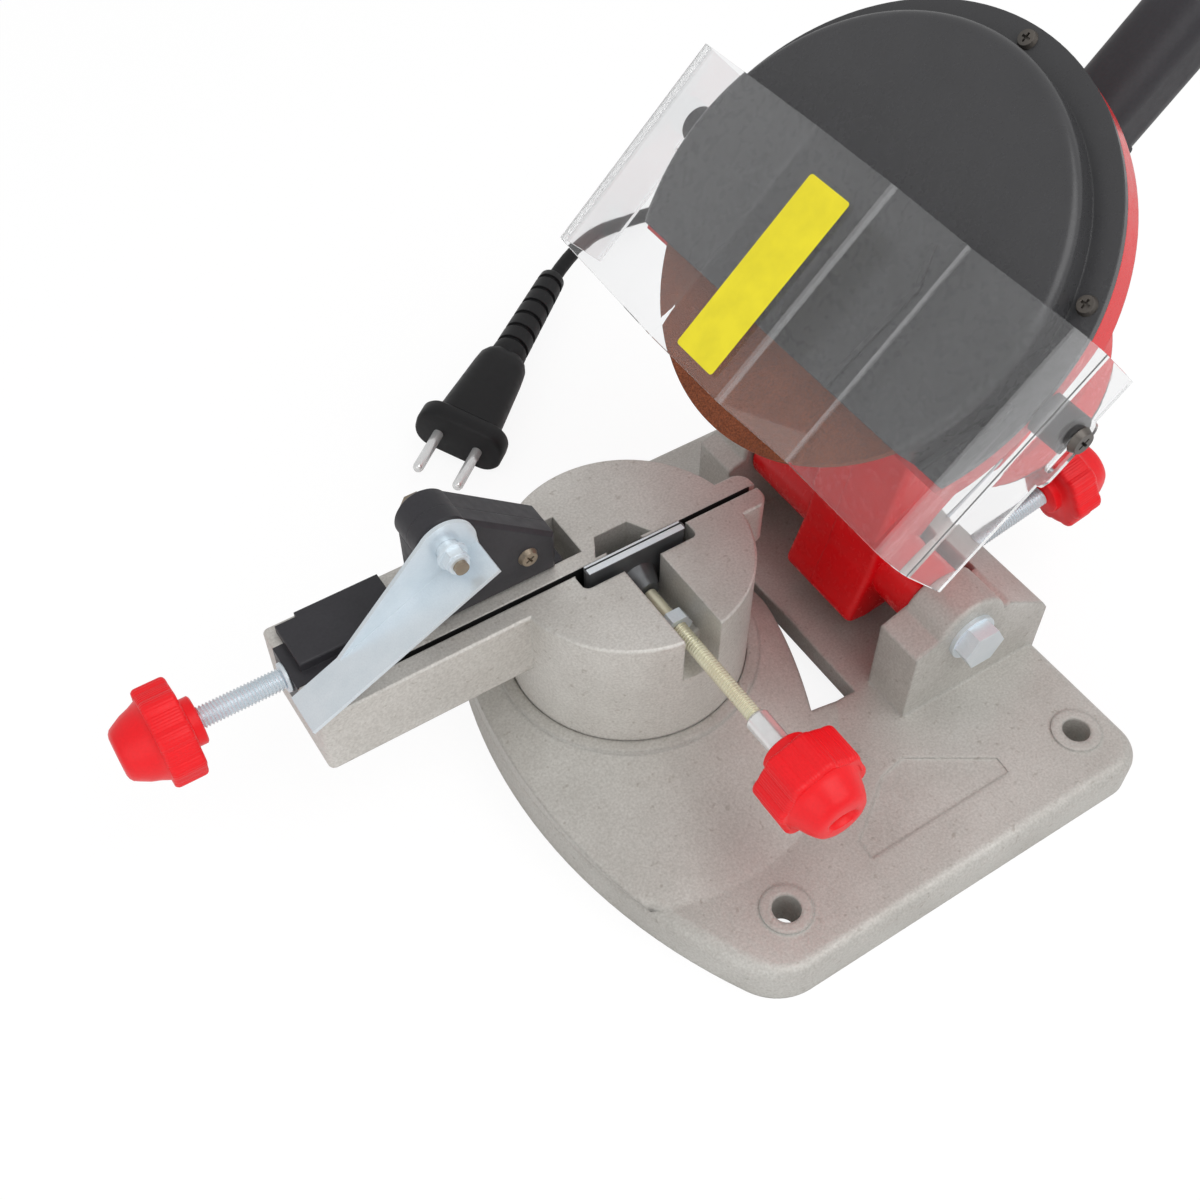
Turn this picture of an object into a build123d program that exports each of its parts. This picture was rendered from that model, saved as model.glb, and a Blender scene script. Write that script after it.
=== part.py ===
from build123d import *
import math
import os

# Bench grinder for saw chain: a cast base with a swivelling chain vise and a
# motor head that swings down on a pivot. Millimetres, +Z up. It is drawn about
# the vise's swivel axis on the underside of the base; +X runs to the pivot and
# the motor, -Y to the operator. Each piece is kept in one shared frame, whose
# origin is the centre of the four bench bolts.

os.makedirs("parts", exist_ok=True)

# ---- fits -------------------------------------------------------------------
fit = 0.06            # radial clearance of a turning or sliding shaft
gap = 0.35            # between curved faces that pass each other
slip = 0.3            # between flat faces that slide past each other
seat = 0.03           # between a round and the part that stands on it

# ---- base casting -----------------------------------------------------------
plate_top = 17.0
wall = 4.5
base_front = -143.0
base_back = 88.0
base_right = 141.0
base_left = -64.4
left_corner_x = -29.9         # where the bowed left side meets front and back
corner_r = 14.0
left_corner_r = 22.0
plate_edge_r = 5.0
mount_x = (-13.0, 124.0)
mount_y = (-120.5, 72.0)
mount_hole_r = 5.25
mount_rim_r = 9.5
mount_rim_h = 0.8
shoulder_x, shoulder_y = -17.0, -20.0
shoulder_r = 84.0             # foot of the slope round the swivel tower
shoulder_top_r = 52.0
shoulder_top = 26.8
cup_rim_r = 51.3
cup_rim_top = 28.5
cup_floor = 18.0
window_right = 65.5
window_front = -60.6
window_back = 40.0
window_left = 60.5            # of the narrow part behind the swivel cup
window_corner = 44.0
window_bow = (54.1, -33.6)    # the bowed side passes here, clear of the cup
window_bow_end = -8.0
window_lip_bottom = 8.0       # the lip round the window stops short of the bench
recess_depth = 0.5
recess_outline = [
    (60.9, -94.0), (90.8, -113.3), (90.2, -120.2), (24.7, -120.8), (25.4, -112.9), (49.4, -96.5),
]

# ---- vise -------------------------------------------------------------------
drum_r = 46.0
vise_top = 82.0
drum_wall = 5.0
chain_y = 1.0                 # the chain lies in this plane, under the wheel
chain_slot = 2.2
chain_slot_floor = 70.0
rail_left = -126.0
rail_front, rail_back = -7.6, 38.0
rail_bottom = 53.2
pocket_floor = 60.0
clamp_channel_w = 15.3         # of the open channel that the clamp screw lies in
rib_t = 1.8                    # ribs that hold the clamp nut
channel_front, channel_back = 8.5, 28.5
channel_floor = 64.0
channel_end = -14.5
nose_x = 57.5
nose_half = 9.0
nose_bottom = 62.0

# ---- swivel bolt and lock knob ----------------------------------------------
swivel_bolt_r = 4.0
swivel_head_af = 13.0
swivel_head_h = 5.3
hex_pocket_floor = 46.0
hex_pocket_af = 24.0
washer_t = 1.0
lock_washer_t = 1.4
lock_knob_h = 10.2
knob_r = 18.0                 # the three hand knobs share one star rim

# ---- chain clamp ------------------------------------------------------------
clamp_x, clamp_z = 1.0, 69.5
clamp_plate_t = 4.6
clamp_plate_half = 21.0
clamp_plate_top = 85.0
clamp_hub_end = -12.0
clamp_nut_y = -31.5
clamp_nut_af = 10.0
clamp_nut_t = 5.0
clamp_thread_r = 3.0
clamp_shank_r = 4.5
clamp_shank_start = -77.0
clamp_knob_y = -92.0

# ---- length adjuster and pawl -----------------------------------------------
screw_y, screw_z = 18.5, 77.5
adjust_r = 4.0
adjust_knob_x = -158.0
adjust_end = -30.0
insert_right = -84.4
carriage_left, carriage_right = -78.0, -22.0
carriage_top = vise_top + slip
block_left, block_right = -76.5, -26.0
block_front_y, block_split_y, block_back_y = 6.6, 14.0, 24.0
pawl_x, pawl_z = -68.5, 122.0
pawl_bolt_r = 2.5
pawl_bush_r = 4.0
pawl_t = 1.6
pawl_y = 3.2                  # near face of the upright flange is this plus t
pawl_flange_front = -11.5

# ---- head -------------------------------------------------------------------
pivot_x, pivot_z = 99.2, 49.5
arm_angle = 47.0              # of the arm from upright, at rest
pivot_r = 5.0
lug_boss_r = 17.0
near_lug = (-79.7, -59.7)
far_lug = (38.0, 58.0)
near_lug_left, near_lug_step = 73.0, 51.5
far_lug_left, far_lug_step = 75.0, 47.0
lug_heel_x, lug_heel_z = 118.0, 56.0      # where each lug's top starts to fall away
lug_slope_x, lug_slope_z = 138.0, 42.5
lug_back_z = 38.0
sleeve_r = 13.5
sleeve_bore_r = 7.5
sleeve_ends = (-58.5, 36.7)
arm_split_y = -16.0
arm_width = (-40.0, 0.0)
wheel_reach = 77.0            # pivot to wheel axis, along the arm
wheel_w = 101.0               # wheel mid-plane in front of the pivot
wheel_r = 72.5
wheel_t = 3.2
wheel_bore_r = 11.1
housing_r = 52.0
housing_wall = 3.0
housing_front, housing_rear = 86.0, -12.0
shell_r = 88.0
shell_front = 97.0
shell_chord = 38.0
cover_chord = 40.5
cover_rim = 9.5               # flat ledge of the cover outside its bowl
cover_bowl_r = shell_r - cover_rim
cover_front = 113.0
cover_flange_t = 3.0
skin = 2.5                    # plastic wall of cover and guard
spindle_r = 5.0
bearing_r = 16.0
bearing_seat_r = 6.0
bearing_w = 9.0

# ---- guard ------------------------------------------------------------------
guard_foot, guard_top = 16.0, 100.0
guard_side_gap = 9.0          # wheel shell to the middle of the guard's flanges
guard_half = shell_r + guard_side_gap
post_r = 7.0
post_reach, post_w = 77.5, 89.8
guard_travel = 11.0

# ---- depth stop -------------------------------------------------------------
stop_y = -40.0
stop_x, stop_z = 124.7, 37.0
stop_slope = 11.5             # degrees that the screw falls towards the arm
stop_r = 4.0
stop_bore_back, stop_bore_length = 12.0, 40.0

# ---- mains lead -------------------------------------------------------------
cord_r = 3.5
coil_x, coil_y = 252.0, 150.0
coil_mean_r = 42.0
coil_layers = 2
coil_rings = 3

# ---- derived places ---------------------------------------------------------
turn = math.radians(arm_angle)
along = Vector(math.sin(turn), 0, math.cos(turn))
ahead = Vector(-math.cos(turn), 0, math.sin(turn))
pivot = Vector(pivot_x, 0, pivot_z)
wheel_back = wheel_w - wheel_t / 2
wheel_face = wheel_w + wheel_t / 2
drum_bottom = cup_floor + washer_t + fit
knob_lobes = 8
hub_taper = 20                # degrees that a knob's hub draws in
bolt_centre = Vector(sum(mount_x) / 2, sum(mount_y) / 2, 0)


def side(y):
    """Upright plane facing the operator: local x is +X, local y is +Z."""
    return Plane(origin=(0, y, 0), x_dir=(1, 0, 0), z_dir=(0, -1, 0))


def head_face(w, u=0.0, y=0.0):
    """Plane across the wheel axis: local x is -Y, local y climbs the arm."""
    place = pivot + along * u + ahead * w + Vector(0, y, 0)
    return Plane(origin=place, x_dir=(0, -1, 0), z_dir=ahead)


def head_side(y):
    """Upright plane of the head: local x is forwards, local y climbs the arm."""
    return Plane(origin=pivot + Vector(0, y, 0), x_dir=ahead, z_dir=(0, 1, 0))


def hub_face(w):
    return head_face(w, wheel_reach, chain_y)


# Radius runs along local x and the wheel axis along local y.
spin_plane = Plane(
    origin=pivot + along * wheel_reach + Vector(0, chain_y, 0), x_dir=along, z_dir=(0, -1, 0)
)
spin_axis = Axis(origin=spin_plane.origin, direction=ahead)


def ring(plane, outer, inner, height):
    with BuildPart() as piece:
        with BuildSketch(plane):
            Circle(outer)
            if inner:
                Circle(inner, mode=Mode.SUBTRACT)
        extrude(amount=height)
    return piece.part


def hex_prism(plane, across_flats, height, bore=0.0):
    with BuildPart() as piece:
        with BuildSketch(plane):
            RegularPolygon(across_flats / 2, 6, major_radius=False)
            if bore:
                Circle(bore, mode=Mode.SUBTRACT)
        extrude(amount=height)
    return piece.part


def turned(points):
    """A body of revolution about the wheel axis from (radius, w) points."""
    with BuildPart() as piece:
        with BuildSketch(spin_plane):
            with BuildLine():
                Polyline(*points, close=True)
            make_face()
        revolve(axis=spin_axis)
    return piece.part


def star_knob(plane, bore, bore_depth, collar_h, rim_h, hub_h):
    """Star rim on a collar, with a domed hub; local z runs from stem to hub."""
    lobe_r = knob_r * 0.26
    hollow_r = knob_r * 0.93
    hub_r = knob_r * 0.8
    collar_r = knob_r * 0.48
    with BuildPart() as knob:
        with BuildSketch(plane):
            Circle(collar_r)
        extrude(amount=collar_h + rim_h / 2)
        with BuildSketch(plane.offset(collar_h)):
            Circle(hollow_r)
            with PolarLocations(knob_r - lobe_r, knob_lobes):
                Circle(lobe_r)
        extrude(amount=rim_h)
        rim_ends = knob.faces().filter_by(
            lambda f: abs(abs(f.normal_at().dot(plane.z_dir)) - 1) < 0.001 and f.area > 400
        )
        rim_edges = rim_ends.edges().filter_by(lambda e: e.radius > hub_r or e.radius < collar_r * 0.9)
        fillet(rim_edges, rim_h * 0.12)
        with BuildSketch(plane.offset(collar_h + rim_h)):
            Circle(hub_r)
        extrude(amount=hub_h, taper=hub_taper)
        with BuildSketch(plane.offset(collar_h + rim_h + hub_h)):
            Ellipse(hub_r * 0.4, hub_r * 0.25)
        extrude(amount=-hub_h * 0.3, mode=Mode.SUBTRACT)
        with BuildSketch(plane):
            Circle(bore)
        extrude(amount=bore_depth, mode=Mode.SUBTRACT)
    return knob.part


def keep(part, name):
    """Exports a piece with the bench bolts' centre as its origin."""
    placed = part.moved(Location(-bolt_centre))
    placed.label = name
    export_step(placed, f"parts/{name}.step")


# ---- base casting -----------------------------------------------------------
def base_outline(inset):
    middle = (base_front + base_back) / 2
    with BuildSketch() as sketch:
        with BuildLine():
            Polyline(
                (left_corner_x, base_front),
                (base_right, base_front),
                (base_right, base_back),
                (left_corner_x, base_back),
            )
            ThreePointArc(
                (left_corner_x, base_back), (base_left, middle), (left_corner_x, base_front)
            )
        make_face()
        fillet(sketch.vertices().sort_by(Axis.X)[-2:], corner_r)
        fillet(sketch.vertices().sort_by(Axis.X)[:2], left_corner_r)
        if inset:
            offset(amount=-inset)
    return sketch.sketch


def window_outline(grow):
    with BuildSketch() as sketch:
        with BuildLine():
            Polyline(
                (window_left, window_bow_end),
                (window_left, window_back),
                (window_right, window_back),
                (window_right, window_front),
                (window_corner, window_front),
            )
            ThreePointArc(
                (window_corner, window_front), window_bow, (window_left, window_bow_end)
            )
        make_face()
        if grow:
            offset(amount=grow)
    return sketch.sketch


plate_outline = base_outline(0)
hollow_outline = base_outline(wall)
window = window_outline(0)
window_rim = window_outline(wall)
mount_places = [(x, y) for x in mount_x for y in mount_y]


def shoulder():
    """Slope from the plate up to the swivel cup, trimmed to the plate's sides."""
    with BuildPart() as piece:
        with BuildSketch(Plane.XY.offset(plate_top)):
            with Locations((shoulder_x, shoulder_y)):
                Circle(shoulder_r)
        with BuildSketch(Plane.XY.offset(shoulder_top)):
            Circle(shoulder_top_r)
        loft(ruled=True)
        with BuildSketch(Plane.XY.offset(plate_top)):
            add(plate_outline)
        extrude(amount=shoulder_top - plate_top, mode=Mode.INTERSECT)
    return piece.part


def lug(ends, shoulder_z, left):
    """Upright ear with the pivot bore; its foot runs into the plate."""
    with BuildPart() as piece:
        with BuildSketch(side(ends[1])):
            with BuildLine():
                Polyline(
                    (left, plate_top - wall),
                    (left, shoulder_z),
                    (left + 11, shoulder_z + 4.5),
                    (pivot_x, pivot_z),
                    (lug_heel_x, lug_heel_z),
                    (lug_slope_x, lug_slope_z),
                    (base_right, lug_back_z),
                    (base_right, plate_top - wall),
                    close=True,
                )
            make_face()
            with Locations((pivot_x, pivot_z)):
                Circle(lug_boss_r)
        extrude(amount=ends[1] - ends[0])
        faces = piece.faces().filter_by(Axis.Y)
        fillet(faces.edges().filter_by(GeomType.CIRCLE), 1.5)
    return piece.part


cup_slope = shoulder()
near_ear = lug(near_lug, near_lug_step, near_lug_left)
far_ear = lug(far_lug, far_lug_step, far_lug_left)

with BuildPart() as base_casting:
    with BuildSketch():
        add(plate_outline)
    extrude(amount=plate_top)
    fillet(base_casting.faces().sort_by(Axis.Z)[-1].edges(), plate_edge_r)
    add(cup_slope)
    with BuildSketch(Plane.XY.offset(plate_top - wall)):
        Circle(cup_rim_r)
    extrude(amount=cup_rim_top - plate_top + wall)
    add(near_ear)
    add(far_ear)
    with BuildSketch(side(far_lug[0])):
        with BuildLine():
            Polyline(
                (lug_heel_x, plate_top - wall),
                (lug_heel_x, lug_heel_z),
                (lug_slope_x, lug_slope_z),
                (base_right, lug_back_z),
                (base_right, plate_top - wall),
                close=True,
            )
        make_face()
    extrude(amount=far_lug[0] - near_lug[1])
    with BuildSketch(Plane.XY.offset(plate_top)):
        with Locations(*mount_places):
            Circle(mount_rim_r)
    extrude(amount=mount_rim_h)
    with BuildSketch():
        add(hollow_outline)
        with Locations(*mount_places):
            Circle(mount_rim_r, mode=Mode.SUBTRACT)
    extrude(amount=window_lip_bottom, mode=Mode.SUBTRACT)
    with BuildSketch(Plane.XY.offset(window_lip_bottom)):
        add(hollow_outline)
        add(window_rim, mode=Mode.SUBTRACT)
        with Locations(*mount_places):
            Circle(mount_rim_r, mode=Mode.SUBTRACT)
    extrude(amount=plate_top - wall - window_lip_bottom, mode=Mode.SUBTRACT)
    with BuildSketch(Plane.XY.offset(cup_floor)):
        Circle(drum_r + gap)
    extrude(amount=cup_rim_top, mode=Mode.SUBTRACT)
    with BuildSketch():
        Circle(drum_r - wall)
    extrude(amount=cup_floor - wall, mode=Mode.SUBTRACT)
    with BuildSketch():
        Circle(swivel_bolt_r + fit)
    extrude(amount=cup_floor, mode=Mode.SUBTRACT)
    with BuildSketch():
        add(window)
        with Locations(*mount_places):
            Circle(mount_hole_r)
    extrude(amount=cup_rim_top, mode=Mode.SUBTRACT)
    with BuildSketch(Plane.XY.offset(plate_top - recess_depth)):
        with BuildLine():
            Polyline(*recess_outline, close=True)
        make_face()
    extrude(amount=wall, mode=Mode.SUBTRACT)
    with BuildSketch(side(far_lug[1])):
        with Locations((pivot_x, pivot_z)):
            Circle(pivot_r + fit)
    extrude(amount=far_lug[1] - near_lug[0], mode=Mode.SUBTRACT)
    stop_axis = Plane(
        origin=(stop_x, stop_y, stop_z),
        x_dir=(0, 1, 0),
        z_dir=(math.cos(math.radians(stop_slope)), 0, math.sin(math.radians(stop_slope))),
    )
    with BuildSketch(stop_axis.offset(-stop_bore_back)):
        Circle(stop_r + fit)
    extrude(amount=stop_bore_length, mode=Mode.SUBTRACT)
keep(base_casting.part, "base_casting")


# ---- vise casting -----------------------------------------------------------
def vise_outline(with_nose):
    """Drum with the chain rail, and the short nose on the other side of it."""
    with BuildSketch() as sketch:
        with Locations((rail_left / 2, (rail_front + rail_back) / 2)):
            RectangleRounded(-rail_left, rail_back - rail_front, 2.5)
        if with_nose:
            with Locations((nose_x / 2, chain_y)):
                RectangleRounded(nose_x, 2 * nose_half, nose_half * 0.6)
        Circle(drum_r)
    return sketch.sketch


vise_top_outline = vise_outline(True)
rail_outline = vise_outline(False)

with BuildPart() as vise_casting:
    with BuildSketch(Plane.XY.offset(nose_bottom)):
        add(vise_top_outline)
    extrude(amount=vise_top - nose_bottom)
    chamfer(vise_casting.faces().sort_by(Axis.Z)[-1].edges(), 0.7)
    with BuildSketch(Plane.XY.offset(rail_bottom)):
        add(rail_outline)
    extrude(amount=nose_bottom - rail_bottom)
    with BuildSketch(Plane.XY.offset(drum_bottom)):
        Circle(drum_r)
    extrude(amount=rail_bottom - drum_bottom)
    # hollow underside round the bolt boss
    with BuildSketch(Plane.XY.offset(drum_bottom)):
        Circle(drum_r - drum_wall)
        Circle(hex_pocket_af * 0.75, mode=Mode.SUBTRACT)
    extrude(amount=pocket_floor - 2 * drum_wall - drum_bottom, mode=Mode.SUBTRACT)
    # chain slot, clamp pocket and clamp screw channel
    with BuildSketch(Plane.XY.offset(chain_slot_floor)):
        with Locations((rail_left / 2 + nose_x / 2, chain_y)):
            Rectangle(nose_x - rail_left + 2, chain_slot)
    extrude(amount=vise_top - chain_slot_floor, mode=Mode.SUBTRACT)
    with BuildSketch(Plane.XY.offset(pocket_floor)):
        with Locations((clamp_x, (rail_front + chain_y) / 2)):
            RectangleRounded(2 * clamp_plate_half + 6, chain_y - rail_front, 2.5)
        with Locations((clamp_x, (rail_front - drum_r) / 2)):
            Rectangle(clamp_channel_w, drum_r + rail_front + 2)
    extrude(amount=vise_top - pocket_floor, mode=Mode.SUBTRACT)
    # cradle and ribs that hold the clamp nut
    with BuildSketch(Plane.XY.offset(pocket_floor)):
        with Locations((clamp_x, clamp_nut_y + clamp_nut_t / 2)):
            Rectangle(clamp_channel_w, clamp_nut_t + 4)
    extrude(amount=clamp_z - clamp_nut_af / 2 - pocket_floor)
    with BuildSketch(Plane.XY.offset(pocket_floor)):
        for rib_y in (clamp_nut_y - 1.0, clamp_nut_y + clamp_nut_t + 1.0):
            with Locations((clamp_x, rib_y)):
                Rectangle(clamp_channel_w, rib_t)
    extrude(amount=clamp_z - clamp_thread_r - 1.0 - pocket_floor)
    # channel for the adjuster, open at the rail's end
    with BuildSketch(Plane.XY.offset(channel_floor)):
        with Locations(((rail_left + channel_end) / 2 - 1, (channel_front + channel_back) / 2)):
            Rectangle(channel_end - rail_left + 2, channel_back - channel_front)
    extrude(amount=vise_top - channel_floor, mode=Mode.SUBTRACT)
    # pocket and bore for the swivel bolt
    with BuildSketch(Plane.XY.offset(hex_pocket_floor)):
        RegularPolygon(hex_pocket_af / 2, 6, major_radius=False)
        with Locations((0, chain_y + chain_slot / 2 + 1.2 - hex_pocket_af)):
            Rectangle(2 * hex_pocket_af, 2 * hex_pocket_af, mode=Mode.SUBTRACT)
        Circle(swivel_head_af * 0.62)
    extrude(amount=vise_top - hex_pocket_floor, mode=Mode.SUBTRACT)
    with BuildSketch(Plane.XY.offset(drum_bottom)):
        Circle(swivel_bolt_r + fit)
    extrude(amount=hex_pocket_floor - drum_bottom, mode=Mode.SUBTRACT)
keep(vise_casting.part, "vise_casting")

lock_top = cup_floor - wall - slip / 2
lock_face_z = lock_top - lock_washer_t - slip / 2
lock_bore = lock_knob_h - 1.0
with BuildPart() as swivel_bolt:
    with BuildSketch(Plane.XY.offset(lock_face_z - lock_bore + slip)):
        Circle(swivel_bolt_r)
    extrude(amount=hex_pocket_floor - lock_face_z + lock_bore - slip)
    add(hex_prism(Plane.XY.offset(hex_pocket_floor), swivel_head_af, swivel_head_h))
keep(swivel_bolt.part, "swivel_bolt")

with BuildPart() as swivel_washer:
    add(ring(Plane.XY.offset(cup_floor), hex_pocket_af * 0.7, swivel_bolt_r + fit, washer_t))
keep(swivel_washer.part, "swivel_washer")

with BuildPart() as lock_washer:
    add(ring(Plane.XY.offset(lock_top - lock_washer_t), 8.5, swivel_bolt_r + fit, lock_washer_t))
keep(lock_washer.part, "lock_washer")

lock_face = Plane(origin=(0, 0, lock_face_z), x_dir=(1, 0, 0), z_dir=(0, 0, -1))
lock_knob = star_knob(lock_face, swivel_bolt_r + fit, lock_bore, 1.4, lock_knob_h - 3.4, 2.0)
keep(lock_knob, "lock_knob")


# ---- chain clamp ------------------------------------------------------------
def at_clamp(y):
    return Plane(origin=(clamp_x, y, clamp_z), x_dir=(1, 0, 0), z_dir=(0, -1, 0))


clamp_back = chain_y - chain_slot / 2
with BuildPart() as clamp_plate:
    with BuildSketch(Plane.XY.offset(pocket_floor + 2)):
        with Locations((clamp_x, clamp_back - clamp_plate_t / 2)):
            RectangleRounded(2 * clamp_plate_half, clamp_plate_t, clamp_plate_t * 0.45)
    extrude(amount=clamp_plate_top - pocket_floor - 2)
    with BuildSketch(Plane.XY.offset(clamp_plate_top - 1.0)):
        with Locations((clamp_x, clamp_back - clamp_plate_t * 0.3)):
            Rectangle(2 * clamp_plate_half - 1, 0.7)
    extrude(amount=2.0, mode=Mode.SUBTRACT)
    with BuildSketch(at_clamp(clamp_back - clamp_plate_t)):
        Circle(8.0)
    extrude(amount=clamp_back - clamp_plate_t - clamp_hub_end, taper=25)
keep(clamp_plate.part, "clamp_plate")

with BuildPart() as clamp_nut:
    add(hex_prism(
        at_clamp(clamp_nut_y + clamp_nut_t),
        clamp_nut_af, clamp_nut_t, clamp_thread_r + fit,
    ))
keep(clamp_nut.part, "clamp_nut")

clamp_screw_end = clamp_knob_y - 14.0
with BuildPart() as clamp_screw:
    with BuildSketch(at_clamp(clamp_hub_end - slip / 2)):
        Circle(clamp_thread_r - 0.5)
    extrude(amount=14)
    with BuildSketch(at_clamp(clamp_hub_end - 14)):
        Circle(clamp_thread_r)
    extrude(amount=clamp_hub_end - 14 - clamp_shank_start)
    with BuildSketch(at_clamp(clamp_shank_start)):
        Circle(clamp_shank_r)
    extrude(amount=clamp_shank_start - clamp_screw_end)
keep(clamp_screw.part, "clamp_screw")

clamp_knob = star_knob(at_clamp(clamp_knob_y), clamp_shank_r, clamp_knob_y - clamp_screw_end, 6, 16, 10)
keep(clamp_knob, "clamp_knob")


# ---- length adjuster --------------------------------------------------------
def at_screw(x):
    """Plane across the adjuster screw, facing its knob."""
    return Plane(origin=(x, screw_y, screw_z), x_dir=(0, -1, 0), z_dir=(-1, 0, 0))


channel_fit = 0.1
with BuildPart() as guide_insert:
    with BuildSketch(Plane.XY.offset(channel_floor)):
        with BuildLine():
            Polyline(
                (rail_left, channel_front),
                (insert_right - 1.6, channel_front),
                (insert_right - 1.6, channel_back),
                (rail_left, channel_back),
                close=True,
            )
        make_face()
    extrude(amount=vise_top - channel_floor)
    with BuildSketch(Plane.XY.offset(vise_top)):
        with BuildLine():
            Polyline(
                (rail_left + 4, channel_front + 5.5),
                (insert_right + 2.4, channel_front + 5.5),
                (insert_right + 2.4, rail_back - 2),
                (rail_left + 12, rail_back - 2),
                (rail_left + 12, rail_back - 4),
                (rail_left + 4, rail_back - 4),
                close=True,
            )
        make_face()
    extrude(amount=4)
    fillet(guide_insert.faces().sort_by(Axis.Z)[-1].edges(), 0.8)
    with BuildSketch(at_screw(0)):
        Circle(adjust_r + fit)
    extrude(amount=-rail_left + 1, mode=Mode.SUBTRACT)
keep(guide_insert.part, "guide_insert")

adjust_screw_end = adjust_knob_x - 14.0
with BuildPart() as adjust_screw:
    with BuildSketch(at_screw(adjust_end)):
        Circle(adjust_r)
    extrude(amount=adjust_end - adjust_screw_end)
    with BuildSketch(at_screw(rail_left - fit)):
        Circle(adjust_r + 1.6)
    extrude(amount=1.6)
    with BuildSketch(at_screw(insert_right)):
        Circle(adjust_r + 0.4)
    extrude(amount=1.2)
keep(adjust_screw.part, "adjust_screw")

adjust_knob = star_knob(at_screw(adjust_knob_x), adjust_r, adjust_knob_x - adjust_screw_end, 4, 12, 12)
keep(adjust_knob, "adjust_knob")

with BuildPart() as carriage:
    with BuildSketch(Plane.XY.offset(channel_floor + slip)):
        with Locations(((carriage_left + carriage_right) / 2, (channel_front + channel_back) / 2)):
            RectangleRounded(
                carriage_right - carriage_left, channel_back - channel_front - 2 * slip, 1.0
            )
    extrude(amount=carriage_top - channel_floor - slip)
    with BuildSketch(at_screw(0)):
        Circle(adjust_r + fit)
    extrude(amount=-carriage_left + 1, mode=Mode.SUBTRACT)
keep(carriage.part, "carriage")


block_outline = [
    (block_left, carriage_top), (block_right, carriage_top), (block_right, 100), (-60, 127.2),
    (pawl_x, pawl_z), (block_left, 116),
]
block_ear_r = 10.0            # round of the block about the pawl bolt


def block(front, back, screw_r):
    """One half of the black pawl block, bored for the pawl bolt and its screws."""
    with BuildPart() as piece:
        with BuildSketch(side(back)):
            with BuildLine():
                Polyline(*block_outline, close=True)
            make_face()
            with Locations((pawl_x + 1.0, pawl_z - 1.0)):
                Circle(block_ear_r)
        extrude(amount=back - front)
        outside = piece.faces().sort_by(Axis.Y)[0 if front == block_front_y else -1]
        chamfer(outside.outer_wire().edges(), 1.4)
        with BuildSketch(side(back)):
            with Locations((pawl_x, pawl_z)):
                Circle(pawl_bolt_r)
            with Locations(*block_screw_places):
                Circle(screw_r)
        extrude(amount=back - front, mode=Mode.SUBTRACT)
    return piece.part


block_screw_places = [(-37.5, 95.5), (-66.0, 92.0)]
block_screw_r = 2.0
block_front = block(block_front_y, block_split_y, block_screw_r)
keep(block_front, "block_front")
block_rear = block(block_split_y, block_back_y, block_screw_r)
keep(block_rear, "block_rear")

with BuildPart() as block_screws:
    for x, z in block_screw_places:
        with BuildSketch(side(block_back_y)):
            with Locations((x, z)):
                Circle(block_screw_r)
        extrude(amount=block_back_y - block_front_y)
        with BuildSketch(side(block_front_y)):
            with Locations((x, z)):
                Circle(3.8)
        extrude(amount=1.8, taper=25)
        with BuildSketch(side(block_front_y - 1.8)):
            with Locations((x, z)):
                Rectangle(3.4, 0.8, rotation=30)
                Rectangle(0.8, 3.4, rotation=30)
        extrude(amount=-1.2, mode=Mode.SUBTRACT)
keep(block_screws.part, "block_screws")

# ---- pawl and its pivot -----------------------------------------------------
washer_front = block_front_y - 2 * pawl_t - 3.2
with BuildPart() as pawl_bolt:
    with BuildSketch(side(block_back_y)):
        with Locations((pawl_x, pawl_z)):
            Circle(pawl_bolt_r)
    extrude(amount=block_back_y + 7.2)
    with BuildSketch(side(block_back_y)):
        with Locations((pawl_x, pawl_z)):
            RegularPolygon(4.0, 6, major_radius=False)
    extrude(amount=-3.5)
keep(pawl_bolt.part, "pawl_bolt")

with BuildPart() as pawl_bush:
    with BuildSketch(side(block_front_y)):
        with Locations((pawl_x, pawl_z)):
            Circle(pawl_bush_r)
            Circle(pawl_bolt_r, mode=Mode.SUBTRACT)
    extrude(amount=block_front_y - washer_front)
keep(pawl_bush.part, "pawl_bush")

with BuildPart() as pawl_nut:
    with BuildSketch(side(washer_front)):
        with Locations((pawl_x, pawl_z)):
            Circle(5.4)
            Circle(pawl_bolt_r, mode=Mode.SUBTRACT)
    extrude(amount=1.0)
    with BuildSketch(side(washer_front - 1.0)):
        with Locations((pawl_x, pawl_z)):
            RegularPolygon(4.0, 6, major_radius=False)
            Circle(pawl_bolt_r, mode=Mode.SUBTRACT)
    extrude(amount=3.2)
    with BuildSketch(side(washer_front - 4.2)):
        with Locations((pawl_x, pawl_z)):
            Circle(3.7)
            Circle(pawl_bolt_r, mode=Mode.SUBTRACT)
    extrude(amount=1.4)
keep(pawl_nut.part, "pawl_nut")

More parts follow.
